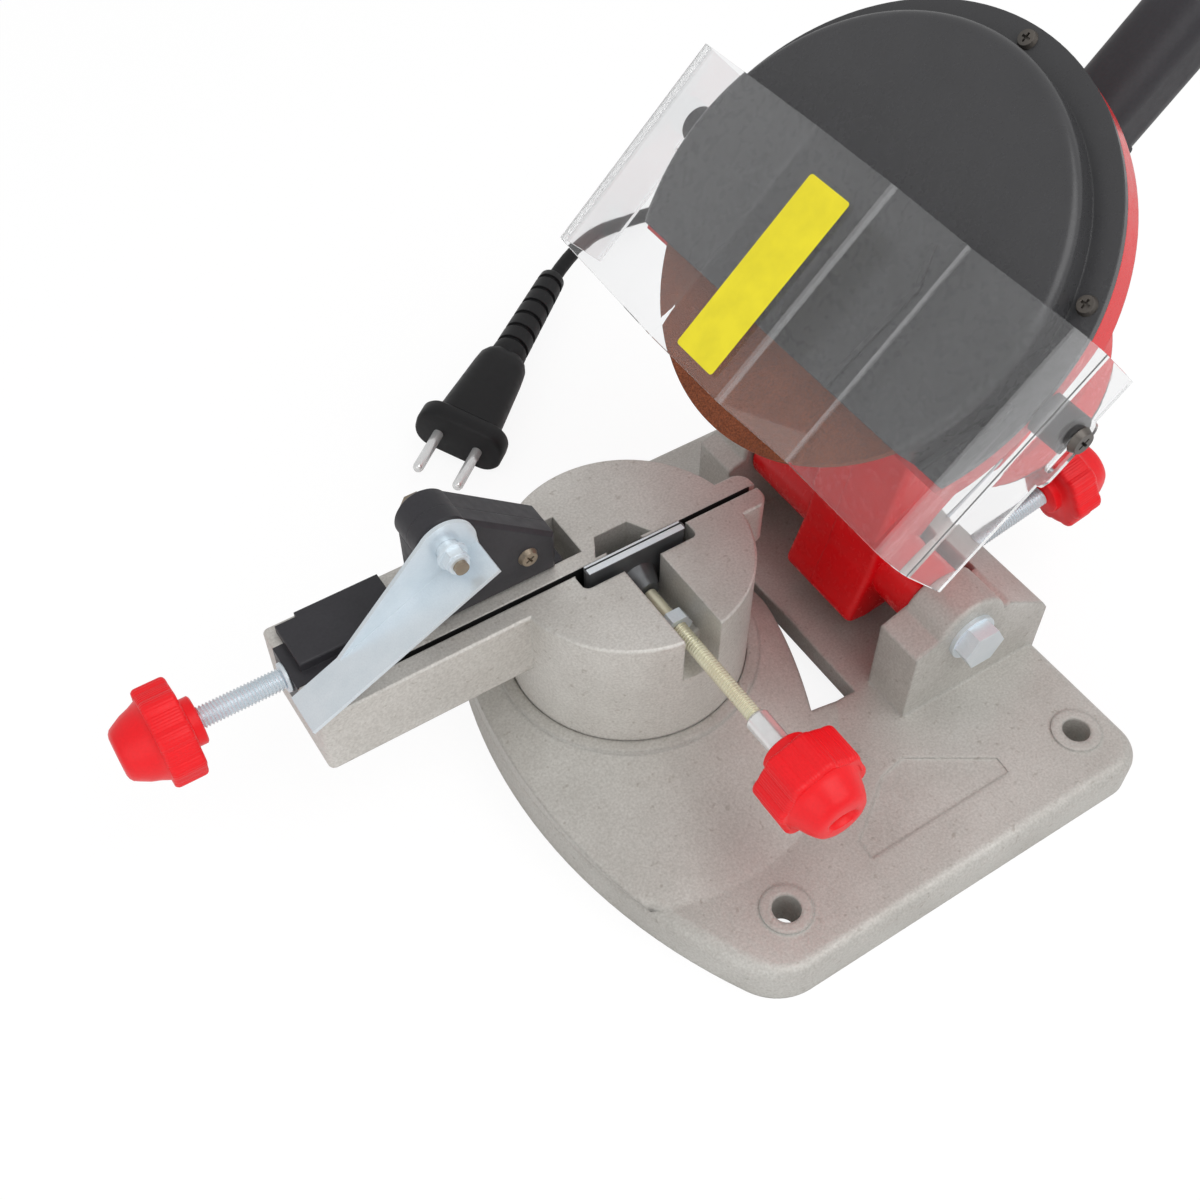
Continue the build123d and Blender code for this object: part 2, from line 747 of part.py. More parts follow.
pawl_tip = (-129.0, 82.6)
pawl_fold = (-57.0, 118.0)
fold_angle = math.degrees(math.atan2(pawl_fold[1] - pawl_tip[1], pawl_fold[0] - pawl_tip[0]))
fold_length = math.hypot(pawl_fold[1] - pawl_tip[1], pawl_fold[0] - pawl_tip[0])
fold_plane = Plane(
    origin=(pawl_tip[0], pawl_y, pawl_tip[1]),
    x_dir=(math.cos(math.radians(fold_angle)), 0, math.sin(math.radians(fold_angle))),
    z_dir=(-math.sin(math.radians(fold_angle)), 0, math.cos(math.radians(fold_angle))),
)
with BuildPart() as pawl:
    with BuildSketch(side(pawl_y + pawl_t)):
        with BuildLine():
            Polyline(
                (pawl_tip[0] + 14, pawl_tip[1] + 14 * math.tan(math.radians(fold_angle))),
                pawl_fold,
                (pawl_x + 10.4, pawl_z + 3.6),
                (pawl_x, pawl_z),
                (pawl_x - 7.5, pawl_z + 8.0),
                close=True,
            )
        make_face()
        with Locations((pawl_x, pawl_z)):
            Circle(11)
            Circle(pawl_bush_r + fit, mode=Mode.SUBTRACT)
    extrude(amount=pawl_t)
    with BuildSketch(fold_plane):
        with BuildLine():
            Polyline(
                (0, pawl_t),
                (0, pawl_flange_front - pawl_y),
                (fold_length, pawl_flange_front - pawl_y),
                (fold_length, pawl_t),
                close=True,
            )
        make_face()
    extrude(amount=pawl_t)
keep(pawl.part, "pawl")

# ---- pivot ------------------------------------------------------------------
bolt_washer_t = 1.8
bolt_head_t = 6.4
pivot_nut_t = 7.0
pivot_af = 16.0
with BuildPart() as pivot_bolt:
    with BuildSketch(side(far_lug[1] + bolt_washer_t + pivot_nut_t + 1.5)):
        with Locations((pivot_x, pivot_z)):
            Circle(pivot_r)
    extrude(amount=far_lug[1] + 2 * bolt_washer_t + pivot_nut_t + 1.5 - near_lug[0])
    with BuildSketch(side(near_lug[0] - bolt_washer_t)):
        with Locations((pivot_x, pivot_z)):
            RegularPolygon(pivot_af / 2, 6, major_radius=False)
    extrude(amount=bolt_head_t)
keep(pivot_bolt.part, "pivot_bolt")

with BuildPart() as pivot_washers:
    for y in (near_lug[0], far_lug[1] + bolt_washer_t):
        with BuildSketch(side(y)):
            with Locations((pivot_x, pivot_z)):
                Circle(pivot_af * 0.62)
                Circle(pivot_r, mode=Mode.SUBTRACT)
        extrude(amount=bolt_washer_t)
keep(pivot_washers.part, "pivot_washers")

with BuildPart() as pivot_nut:
    with BuildSketch(side(far_lug[1] + bolt_washer_t + pivot_nut_t)):
        with Locations((pivot_x, pivot_z)):
            RegularPolygon(pivot_af / 2, 6, major_radius=False)
            Circle(pivot_r, mode=Mode.SUBTRACT)
    extrude(amount=pivot_nut_t)
keep(pivot_nut.part, "pivot_nut")

bush_length = 16.0
with BuildPart() as pivot_bushes:
    for y in (sleeve_ends[0] + bush_length, sleeve_ends[1]):
        with BuildSketch(side(y)):
            with Locations((pivot_x, pivot_z)):
                Circle(sleeve_bore_r)
                Circle(pivot_r + fit, mode=Mode.SUBTRACT)
        extrude(amount=bush_length)
keep(pivot_bushes.part, "pivot_bushes")


# ---- arm --------------------------------------------------------------------
# (forwards, up the arm) from the pivot
arm_outline = [
    (1, -32), (7, -21), (13, -10.5), (20, -1.3), (24.5, 3.4), (34.9, 18.7), (50, 40), (60, 54),
    (-4, 54), (-4, 24), (-8, 14), (-15, 0), (-17, -10.6), (-7.2, -25.6),
]


arm_foot_r = 4.0              # of the foot's lowest corners
arm_edge_r = 2.5
arm_axis = Axis(origin=pivot, direction=along)


def arm_half(front, back, sleeve_front, sleeve_back):
    """One half of the red arm: pivot sleeve and the foot under the motor."""
    with BuildPart() as piece:
        with BuildSketch(head_side(front)):
            with BuildLine():
                Polyline(*arm_outline, close=True)
            make_face()
        extrude(amount=back - front)
        foot_edges = piece.edges().filter_by(Axis.Y).sort_by(arm_axis)[:3]
        fillet(foot_edges, arm_foot_r)
        outside = piece.faces().sort_by(Axis.Y)[0 if front == arm_width[0] else -1]
        fillet(outside.edges(), arm_edge_r)
        with BuildSketch(head_side(sleeve_front)):
            Circle(sleeve_r)
        extrude(amount=sleeve_back - sleeve_front)
        with BuildSketch(head_side(sleeve_front)):
            Circle(sleeve_bore_r)
        extrude(amount=sleeve_back - sleeve_front, mode=Mode.SUBTRACT)
        with BuildSketch(hub_face(housing_rear - housing_r)):
            Circle(housing_r)
        extrude(amount=housing_front - housing_rear + 2 * housing_r, mode=Mode.SUBTRACT)
    return piece.part


arm_near = arm_half(arm_width[0], arm_split_y, sleeve_ends[0], arm_split_y)
keep(arm_near, "arm_near")
arm_far = arm_half(arm_split_y, arm_width[1], arm_split_y, sleeve_ends[1])
keep(arm_far, "arm_far")

# ---- motor housing ----------------------------------------------------------
cap_depth = 15.0
cap_rear = housing_rear - cap_depth
boss_r = bearing_r + housing_wall
boss_w = housing_front - 18
front_wall = 6.0
with BuildPart() as motor_housing:
    add(turned([
        (housing_r, housing_rear), (housing_r, housing_front),
        (spindle_r + 4, housing_front), (spindle_r + 4, housing_front - front_wall),
        (bearing_r, housing_front - front_wall), (bearing_r, boss_w),
        (boss_r, boss_w), (boss_r, housing_front - front_wall),
        (housing_r - housing_wall, housing_front - front_wall),
        (housing_r - housing_wall, housing_rear),
    ]))
    # grooves between the housing's panels
    for w in (38.0, 8.0):
        with BuildSketch(hub_face(w)):
            Circle(housing_r + 1)
            Circle(housing_r - 0.8, mode=Mode.SUBTRACT)
        extrude(amount=1.2, mode=Mode.SUBTRACT)
keep(motor_housing.part, "motor_housing")

gland_u, gland_y = 55.0, 25.0
gland_hole_r = 5.5
cap_r = housing_r - 10
cap_rim = 6.0                 # straight part of the cap next to the housing
rear_bearing_r = 13.0
vent_count, vent_span = 10, 198.0
vent_r, vent_start = 30.0, 18.0
vent_length, vent_w = 16.0, 3.0
with BuildPart() as end_cap:
    add(turned([
        (housing_r, housing_rear), (housing_r - 2, housing_rear - cap_rim), (cap_r, cap_rear),
        (0, cap_rear), (0, cap_rear + housing_wall), (rear_bearing_r, cap_rear + housing_wall),
        (rear_bearing_r, housing_rear - 2), (rear_bearing_r + housing_wall, housing_rear - 2),
        (rear_bearing_r + housing_wall, cap_rear + housing_wall),
        (cap_r, cap_rear + housing_wall), (housing_r - housing_wall, housing_rear - cap_rim),
        (housing_r - housing_wall, housing_rear),
    ]))
    with BuildSketch(hub_face(cap_rear)):
        with PolarLocations(vent_r, vent_count, start_angle=vent_start, angular_range=vent_span):
            SlotOverall(vent_length, vent_w)
    extrude(amount=housing_wall, mode=Mode.SUBTRACT)
    with BuildSketch(head_face(cap_rear, gland_u, gland_y)):
        Circle(gland_hole_r)
    extrude(amount=housing_wall, mode=Mode.SUBTRACT)
keep(end_cap.part, "end_cap")

# ---- wheel shell and cover --------------------------------------------------
def wheel_shape(plane, radius, chord):
    """Round plate cut straight below the chord, counted up the arm from the pivot."""
    with BuildSketch(plane) as sketch:
        Circle(radius)
        with Locations((0, chord - wheel_reach - radius)):
            Rectangle(2 * radius, 2 * radius, mode=Mode.SUBTRACT)
    return sketch.sketch


shell_wall = housing_wall
shell_plate = wheel_shape(hub_face(housing_front), shell_r, shell_chord)
shell_inside = wheel_shape(
    hub_face(housing_front + shell_wall), shell_r - shell_wall, shell_chord + shell_wall
)
with BuildPart() as back_shell:
    extrude(shell_plate, amount=shell_front - housing_front, dir=ahead)
    extrude(shell_inside, amount=shell_front - housing_front, dir=ahead, mode=Mode.SUBTRACT)
    with BuildSketch(hub_face(housing_front)):
        Circle(spindle_r + 5)
    extrude(amount=shell_wall, mode=Mode.SUBTRACT)
keep(back_shell.part, "back_shell")

flange_top = shell_front + cover_flange_t
cover_inner_r = cover_bowl_r - skin - 0.5
with BuildPart() as wheel_cover:
    with BuildSketch(spin_plane) as cover_profile:
        with BuildLine():
            Polyline(
                (shell_r, shell_front),
                (shell_r, flange_top),
                (cover_bowl_r, flange_top),
                (cover_bowl_r, cover_front),
                (0, cover_front),
                (0, cover_front - skin),
                (cover_inner_r, cover_front - skin),
                (cover_inner_r, shell_front),
                close=True,
            )
        make_face()
        fillet(cover_profile.vertices().sort_by(Axis.Y)[-2:].sort_by(Axis.X)[-1], 3.5)
    revolve(axis=spin_axis)
    # raised ribs: one up the front, one round the flange
    with BuildSketch(hub_face(cover_front - skin)):
        with BuildLine() as front_rib:
            Polyline((33.6, cover_chord - wheel_reach), (36.8, 4.2), (31, 17.6))
        trace(front_rib.line, line_width=2.0)
    extrude(amount=skin + 0.8)
    with BuildSketch(hub_face(flange_top - 1.0)):
        with BuildLine() as flange_rib:
            Polyline((71.8, cover_chord - wheel_reach), (79.7, -11.2), (80.5, -4))
        trace(flange_rib.line, line_width=2.0)
    extrude(amount=2.2)
    with BuildSketch(hub_face(shell_front)):
        with Locations((0, cover_chord - wheel_reach - shell_r)):
            Rectangle(2 * shell_r, 2 * shell_r)
    extrude(amount=cover_front, mode=Mode.SUBTRACT)
keep(wheel_cover.part, "wheel_cover")

with BuildPart() as cover_screws:
    for angle in (22, 90, 158):
        place = Vector(
            (shell_r - 4.8) * math.cos(math.radians(angle)), (shell_r - 4.8) * math.sin(math.radians(angle))
        )
        with BuildSketch(hub_face(flange_top)):
            with Locations(place):
                Circle(3.4)
        extrude(amount=1.8, taper=20)
        with BuildSketch(hub_face(flange_top + 1.8)):
            with Locations(place):
                Rectangle(3.2, 0.8)
                Rectangle(0.8, 3.2)
        extrude(amount=-1.2, mode=Mode.SUBTRACT)
keep(cover_screws.part, "cover_screws")

# ---- spindle, wheel and motor -----------------------------------------------
flange_r = 22.0
flange_t = 2.4
nut_af = 17.0
spindle_front = wheel_face + flange_t + 5.2
rear_seat = cap_rear + housing_wall
with BuildPart() as spindle:
    add(turned([
        (0, rear_seat + slip), (spindle_r, rear_seat + slip), (spindle_r, housing_rear + 1),
        (bearing_seat_r, housing_rear + 1), (bearing_seat_r, housing_front),
        (spindle_r + 3, housing_front), (spindle_r + 3, wheel_back - flange_t),
        (spindle_r, wheel_back - flange_t), (spindle_r, spindle_front), (0, spindle_front),
    ]))
keep(spindle.part, "spindle")

with BuildPart() as wheel:
    add(ring(hub_face(wheel_back), wheel_r, wheel_bore_r, wheel_t))
keep(wheel.part, "wheel")

with BuildPart() as wheel_flanges:
    add(ring(hub_face(wheel_back - flange_t), flange_r, spindle_r, flange_t))
    add(ring(hub_face(wheel_back), wheel_bore_r, spindle_r, wheel_t / 2 - fit))
    add(ring(hub_face(wheel_w), wheel_bore_r, spindle_r, wheel_t / 2))
    add(ring(hub_face(wheel_face), flange_r, spindle_r, flange_t))
keep(wheel_flanges.part, "wheel_flanges")

with BuildPart() as spindle_nut:
    add(hex_prism(hub_face(wheel_face + flange_t), nut_af, 4.6, spindle_r))
keep(spindle_nut.part, "spindle_nut")

core_rear, core_front = 4.0, 46.0
stator_r = housing_r - housing_wall
stator_depth = 27.0
core_r = stator_r - stator_depth
air_gap = 0.6
core_slots = 12
core_slot_w, core_slot_depth = 1.2, 2.0
winding_inset = 3.0
winding_front, winding_rear = 7.0, 5.0
with BuildPart() as armature:
    add(turned([
        (bearing_seat_r, core_rear), (core_r, core_rear), (core_r, core_front),
        (bearing_seat_r, core_front),
    ]))
    with BuildSketch(hub_face(core_rear)):
        with PolarLocations(core_r, core_slots):
            Rectangle(2 * core_slot_depth, core_slot_w)
    extrude(amount=core_front - core_rear, mode=Mode.SUBTRACT)
keep(armature.part, "armature")

with BuildPart() as armature_coils:
    add(turned([
        (bearing_seat_r, core_front), (core_r - winding_inset, core_front),
        (core_r - winding_inset - 1, core_front + winding_front),
        (bearing_seat_r, core_front + winding_front),
    ]))
    add(turned([
        (bearing_seat_r, core_rear - winding_rear),
        (core_r - winding_inset - 1, core_rear - winding_rear),
        (core_r - winding_inset, core_rear), (bearing_seat_r, core_rear),
    ]))
keep(armature_coils.part, "armature_coils")

commutator_r = 11.0
commutator_length = 9.0
commutator_front = core_rear - winding_rear
commutator_rear = commutator_front - commutator_length
with BuildPart() as commutator:
    add(turned([
        (bearing_seat_r, commutator_rear), (commutator_r, commutator_rear),
        (commutator_r, commutator_front), (bearing_seat_r, commutator_front),
    ]))
keep(commutator.part, "commutator")

fan_rear = core_front + winding_front + 1.0
fan_hub_r, fan_hub_h = 12.0, 2.0
fan_r = stator_r - 5.0
fan_t = 1.6
fan_blades = 9
fan_blade_h = 6.0
blade_length = fan_r - fan_hub_r - 10.0
fan_face = fan_rear + fan_hub_h + fan_t
with BuildPart() as fan:
    add(turned([
        (bearing_seat_r, fan_rear), (fan_hub_r, fan_rear), (fan_hub_r, fan_rear + fan_hub_h),
        (fan_r, fan_rear + fan_hub_h), (fan_r, fan_face), (bearing_seat_r, fan_face),
    ]))
    with BuildSketch(hub_face(fan_face)):
        with PolarLocations(fan_r - 1.0 - blade_length / 2, fan_blades):
            Rectangle(blade_length, fan_t)
    extrude(amount=fan_blade_h)
keep(fan.part, "fan")

with BuildPart() as bearings:
    add(ring(hub_face(housing_front - front_wall - bearing_w), bearing_r, bearing_seat_r, bearing_w))
    add(ring(hub_face(rear_seat), rear_bearing_r, spindle_r, bearing_w))
keep(bearings.part, "bearings")

stator_back = 4.3             # iron left outside each coil slot's corners
coil_in, coil_out = 6.0, 18.0  # coil slot's sides, out from the armature
coil_room = 0.5
coil_w = coil_out - coil_in
coil_mid = core_r + (coil_in + coil_out) / 2
coil_h = 2 * math.sqrt((stator_r - stator_back) ** 2 - (core_r + coil_out) ** 2)
coil_overhang = 4.0
with BuildPart() as stator:
    with BuildSketch(hub_face(core_rear)):
        Circle(stator_r)
        Circle(core_r + air_gap, mode=Mode.SUBTRACT)
        with PolarLocations(coil_mid, 2):
            Rectangle(coil_w, coil_h, mode=Mode.SUBTRACT)
    extrude(amount=core_front - core_rear)
keep(stator.part, "stator")

with BuildPart() as field_coils:
    with BuildSketch(hub_face(core_rear - coil_overhang)):
        with PolarLocations(coil_mid, 2):
            Rectangle(coil_w - 2 * coil_room, coil_h - 2 * coil_room)
    extrude(amount=core_front - core_rear + 2 * coil_overhang)
keep(field_coils.part, "field_coils")

brush_w = (commutator_front + commutator_rear) / 2
brush_length, brush_width = 18.0, 5.0
brush_mid = commutator_r + 0.1 + brush_length / 2
holder_start = commutator_r + 2.5
holder_length = stator_r - 0.5 - holder_start
with BuildPart() as brushes:
    for way in (-1, 1):
        with BuildSketch(head_face(brush_w, wheel_reach, chain_y)):
            with Locations((way * brush_mid, 0)):
                Rectangle(brush_length, brush_width)
        extrude(amount=brush_width / 2, both=True)
keep(brushes.part, "brushes")

with BuildPart() as brush_holders:
    for way in (-1, 1):
        with BuildSketch(head_face(brush_w, wheel_reach, chain_y)):
            with Locations((way * (holder_start + holder_length / 2), 0)):
                Rectangle(holder_length, brush_width + 3.0)
        extrude(amount=brush_width / 2 + 1.1, both=True)
    for way in (-1, 1):
        with BuildSketch(head_face(brush_w, wheel_reach, chain_y)):
            with Locations((way * brush_mid, 0)):
                Rectangle(brush_length, brush_width)
        extrude(amount=brush_width / 2, both=True, mode=Mode.SUBTRACT)
keep(brush_holders.part, "brush_holders")

# ---- handle and switch ------------------------------------------------------
grip_w = 36.0                 # grip centre in front of the pivot
grip_size = (30.0, 26.0)
grip_length = 91.0
grip_sink = 6.0               # of the grip's foot into the housing's round
grip_foot = wheel_reach + housing_r - grip_sink
grip_top = grip_foot + grip_length
switch_up = 29.0              # switch centre above the grip's foot
switch_u = grip_foot + switch_up


def across_arm(u):
    """Plane square to the arm: local x is +Y, local y runs forwards."""
    return Plane(origin=pivot + along * u, x_dir=(0, 1, 0), z_dir=along)


with BuildPart() as handle:
    with BuildSketch(across_arm(grip_foot)):
        with Locations((chain_y, grip_w)):
            RectangleRounded(grip_size[1], grip_size[0], 10)
    extrude(amount=grip_top - grip_foot)
    fillet(handle.faces().sort_by(Axis(handle.part.center(), along))[-1].edges(), 6)
    with BuildSketch(across_arm(grip_foot)):
        with Locations((chain_y, grip_w)):
            RectangleRounded(grip_size[1] + 14, grip_size[0] + 14, 10)
    extrude(amount=14, taper=18)
    with BuildSketch(hub_face(0)):
        Circle(housing_r)
    extrude(amount=housing_front, mode=Mode.SUBTRACT)
    with BuildSketch(head_side(chain_y - grip_size[1] / 2)):
        with Locations((grip_w, switch_u)):
            Rectangle(11, 19)
    extrude(amount=13, mode=Mode.SUBTRACT)
keep(handle.part, "handle")

switch_face = chain_y - grip_size[1] / 2
bezel_t = 1.5
with BuildPart() as switch_body:
    with BuildSketch(head_side(switch_face - bezel_t)):
        with Locations((grip_w, switch_u)):
            RectangleRounded(14, 23, 1.5)
    extrude(amount=bezel_t)
    with BuildSketch(head_side(switch_face)):
        with Locations((grip_w, switch_u)):
            Rectangle(11, 19)
    extrude(amount=13)
    with BuildSketch(head_side(switch_face - bezel_t)):
        with Locations((grip_w, switch_u)):
            Rectangle(9, 15)
    extrude(amount=bezel_t + 10, mode=Mode.SUBTRACT)
keep(switch_body.part, "switch_body")

rocker_tilt = 8.0
rocker_pin_r = 0.9
rocker_axis_y = switch_face + 2.5
tilt = math.radians(rocker_tilt)
rocker_plane = Plane(
    origin=pivot + along * switch_u + ahead * (grip_w - 4.2) + Vector(0, rocker_axis_y, 0),
    x_dir=Vector(0, -math.cos(tilt), 0) - along * math.sin(tilt),
    z_dir=ahead,
)
with BuildPart() as rocker:
    with BuildSketch(rocker_plane):
        with BuildLine():
            Polyline((5.5, 6.6), (4.6, 0), (5.5, -6.6), (-2, -6.0), (-4, 0), (-2, 6.0), close=True)
        make_face()
        Circle(rocker_pin_r, mode=Mode.SUBTRACT)
    extrude(amount=8.4)
keep(rocker.part, "rocker")

# ---- guard ------------------------------------------------------------------
guard_line = [
    (-guard_half, 88.5), (-guard_half, 121.5), (-43.5, 118), (-16.5, 130), (21.5, 130),
    (guard_half, 116), (guard_half, 88.5),
]
with BuildSketch(Plane.XY) as guard_section:
    with BuildLine() as guard_path:
        FilletPolyline(*guard_line, radius=[9.0, 5.0, 5.0, 5.0, 9.0])
    trace(guard_path.line, line_width=skin)
guard_shape = guard_section.sketch
slot_middle = post_reach - guard_travel / 2   # the guard can rise on its screws
slot_w = 4.4
ear_size = (13.0, guard_travel + 14.0)
ear_corner = 4.0
with BuildPart() as guard:
    with BuildSketch(across_arm(guard_foot)):
        add(guard_shape)
    extrude(amount=guard_top - guard_foot)
    # ears behind each flange that carry the screw slots
    with BuildSketch(head_side(-guard_half - skin / 2)):
        with Locations((post_w, slot_middle)):
            RectangleRounded(*ear_size, ear_corner)
    extrude(amount=skin)
    with BuildSketch(head_side(guard_half - skin / 2)):
        with Locations((post_w, slot_middle)):
            RectangleRounded(*ear_size, ear_corner)
    extrude(amount=skin)
    with BuildSketch(head_side(-guard_half - skin)):
        with Locations((post_w, slot_middle)):
            SlotCenterToCenter(guard_travel, slot_w, rotation=90)
    extrude(amount=2 * guard_half + 2 * skin, mode=Mode.SUBTRACT)
keep(guard.part, "guard")

post_out = guard_half - skin / 2 - slip / 2
with BuildPart() as guard_posts:
    for way in (-1, 1):
        start = chain_y + way * (shell_r - 1.5)
        with BuildSketch(Plane(
            origin=pivot + along * post_reach + ahead * (post_w + 2.0) + Vector(0, start, 0),
            x_dir=ahead, z_dir=(0, way, 0),
        )):
            Circle(post_r)
        extrude(amount=post_out - abs(start))
    with BuildSketch(hub_face(housing_front)):
        Circle(shell_r + seat)
    extrude(amount=flange_top - housing_front, mode=Mode.SUBTRACT)
keep(guard_posts.part, "guard_posts")

with BuildPart() as guard_screws:
    for way in (-1, 1):
        head_foot = Vector(0, way * (guard_half + skin / 2 + slip / 2), 0)
        screw_face = Plane(
            origin=pivot + along * post_reach + ahead * post_w + head_foot,
            x_dir=ahead, z_dir=(0, way, 0),
        )
        with BuildSketch(screw_face.offset(-(skin + slip))):
            Circle(2.0)
        extrude(amount=skin + slip)
        with BuildSketch(screw_face):
            Circle(4.6)
        extrude(amount=2.4, taper=20)
        with BuildSketch(screw_face.offset(2.4)):
            Rectangle(4.2, 0.9)
            Rectangle(0.9, 4.2)
        extrude(amount=-1.5, mode=Mode.SUBTRACT)
keep(guard_screws.part, "guard_screws")

# ---- depth stop -------------------------------------------------------------
stop_tip = 11.5               # from the stop's reference point to its tip
stop_knob = 49.0
stop_bore = 14.0
with BuildPart() as depth_tip:
    with BuildSketch(stop_axis.offset(-stop_tip)):
        Circle(stop_r - 0.6)
    extrude(amount=2.6)
keep(depth_tip.part, "depth_tip")

with BuildPart() as depth_screw:
    with BuildSketch(stop_axis.offset(-stop_tip + 2.6 + fit)):
        Circle(stop_r)
    extrude(amount=stop_tip - 2.6 - fit + stop_knob + stop_bore)
keep(depth_screw.part, "depth_screw")

depth_knob = star_knob(stop_axis.offset(stop_knob), stop_r, stop_bore, 4, 12, 10)
keep(depth_knob, "depth_knob")

# ---- mains lead -------------------------------------------------------------
gland_length = 30.0
gland_tip_r = 4.4
with BuildPart() as cord_gland:
    with BuildSketch(head_face(cap_rear, gland_u, gland_y)):
        Circle(gland_hole_r)
    extrude(amount=housing_wall + 2)
    with BuildSketch(head_face(cap_rear, gland_u, gland_y)):
        Circle(gland_hole_r + 2.5)
    extrude(amount=-2.5)
    with BuildSketch(head_face(cap_rear - 2.5, gland_u, gland_y)):
        Circle(gland_hole_r + 0.5)
    with BuildSketch(head_face(cap_rear - gland_length, gland_u, gland_y)):
        Circle(gland_tip_r)
    loft()
keep(cord_gland.part, "cord_gland")

gland_end = head_face(cap_rear - gland_length, gland_u, gland_y).origin
coil_turn_r = coil_mean_r + (coil_rings - 1) * cord_r
coil_join = 45.0              # degrees round the coil where the plug's run leaves
coil_leave = Vector(
    coil_x + coil_turn_r * math.cos(math.radians(coil_join)),
    coil_y + coil_turn_r * math.sin(math.radians(coil_join)),
    (2 * coil_layers - 1) * cord_r,
)
plug_z = 14.4
plug_tip = Vector(-15.0, 128.8, plug_z)
plug_way = Vector(0.788, 0.617, 0).normalized()
plug_roll = math.radians(16)  # the plug lies on one end of its flange
pin_length = 24.0
pin_r = 2.4
pin_spacing = 19.0
flange_size = (42.0, 22.0)
flange_corner = 9.0
flange_depth = 10.0
body_size = (30.0, 21.0)
body_end_size = (23.0, 18.0)
body_corner = 7.0
body_length = 48.0
relief_start_r, relief_end_r = 8.6, 6.2
relief_length = 64.0
body_start = pin_length + flange_depth
relief_start = body_start + body_length
relief_end = relief_start + relief_length

head_run = [
    gland_end,
    gland_end - ahead * 32,
    (228, 29, 7),
    (257, 42, 3.6),
    (281, 66, 3.6),
    (294, 98, 3.6),
    (coil_x + coil_turn_r, 128, 3.6),
    (coil_x + coil_turn_r - 0.2, coil_y, 3.6),
]
plug_run = [
    coil_leave,
    (265, 207, 9.5),
    (235, 226, 5),
    (204, 241, 3.6),
    (171, 247, 6),
    plug_tip + plug_way * (relief_end + 33),
    plug_tip + plug_way * relief_end,
]


def lead_radii(name, route):
    """Largest bend that each corner of the route leaves room for."""
    points = [Vector(p) for p in route]
    radii = []
    for before, here, after in zip(points, points[1:], points[2:]):
        half = math.radians((here - before).get_angle(after - here)) / 2
        run = min((here - before).length, (after - here).length)
        radii.append(0.45 * run / math.tan(half))
    print(name, "radii", [round(r) for r in radii])
    return radii


def lead_tube(name, route):
    points = [Vector(p) for p in route]
    with BuildPart() as tube:
        with BuildLine() as path:
            FilletPolyline(*points, radius=lead_radii(name, route))
        with BuildSketch(Plane(origin=points[0], z_dir=points[1] - points[0])):
            Circle(cord_r)
        sweep(path=path.line)
    length = sum(edge.length for edge in path.line.edges())
    fill = tube.part.volume / (math.pi * cord_r**2 * length)
    print(name, "length", round(length), "volume / (section x length)", round(fill, 4))
    return tube.part


cord_head_run = lead_tube("cord_head_run", head_run)
keep(cord_head_run, "cord_head_run")
cord_plug_run = lead_tube("cord_plug_run", plug_run)
keep(cord_plug_run, "cord_plug_run")

with BuildPart() as cord_coil:
    with BuildSketch(Plane(origin=(coil_x, coil_y, 0))):
        Circle(coil_mean_r + coil_rings * cord_r)
        Circle(coil_mean_r - coil_rings * cord_r, mode=Mode.SUBTRACT)
    extrude(amount=2 * cord_r * coil_layers)
    fillet(cord_coil.edges(), cord_r * 0.6)
keep(cord_coil.part, "cord_coil")


def across_plug(along_plug):
    """Plane square to the plug, so far from its pin tips; local x runs along the pins' line."""
    level = Vector(plug_way.Y, -plug_way.X, 0)
    return Plane(
        origin=plug_tip + plug_way * along_plug,
        x_dir=level * math.cos(plug_roll) - Vector(0, 0, math.sin(plug_roll)),
        z_dir=plug_way,
    )


with BuildPart() as plug_body:
    with BuildSketch(across_plug(pin_length)):
        RectangleRounded(*flange_size, flange_corner)
    extrude(amount=flange_depth)
    with BuildSketch(across_plug(body_start)):
        RectangleRounded(*body_size, body_corner)
    with BuildSketch(across_plug(relief_start)):
        RectangleRounded(*body_end_size, body_corner)
    loft()
    with BuildSketch(across_plug(relief_start)):
        Circle(relief_start_r)
    with BuildSketch(across_plug(relief_end)):
        Circle(relief_end_r)
    loft()
keep(plug_body.part, "plug_body")

with BuildPart() as plug_pins:
    for way in (-1, 1):
        with BuildSketch(across_plug(0)):
            with Locations((way * pin_spacing / 2, 0)):
                Circle(pin_r)
        extrude(amount=pin_length)
    fillet(
        plug_pins.faces().filter_by(GeomType.PLANE).edges().group_by(Axis(plug_tip, plug_way))[0],
        pin_r / 2,
    )
keep(plug_pins.part, "plug_pins")
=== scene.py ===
import math

import bmesh
import bpy
from mathutils import Matrix, Vector


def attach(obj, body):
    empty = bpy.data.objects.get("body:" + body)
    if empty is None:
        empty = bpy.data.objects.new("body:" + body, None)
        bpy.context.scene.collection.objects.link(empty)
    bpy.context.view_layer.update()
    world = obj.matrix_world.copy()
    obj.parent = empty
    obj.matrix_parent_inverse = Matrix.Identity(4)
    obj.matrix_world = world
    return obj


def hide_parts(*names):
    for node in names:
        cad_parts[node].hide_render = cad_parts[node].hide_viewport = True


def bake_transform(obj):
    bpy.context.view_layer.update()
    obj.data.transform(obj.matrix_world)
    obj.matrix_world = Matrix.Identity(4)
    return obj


# Electric chain saw sharpener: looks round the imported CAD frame. Places are written in
# millimetres from the vise's swivel axis, as in the CAD's drawing, and mm()
# turns them to metres from the bench bolts' centre.

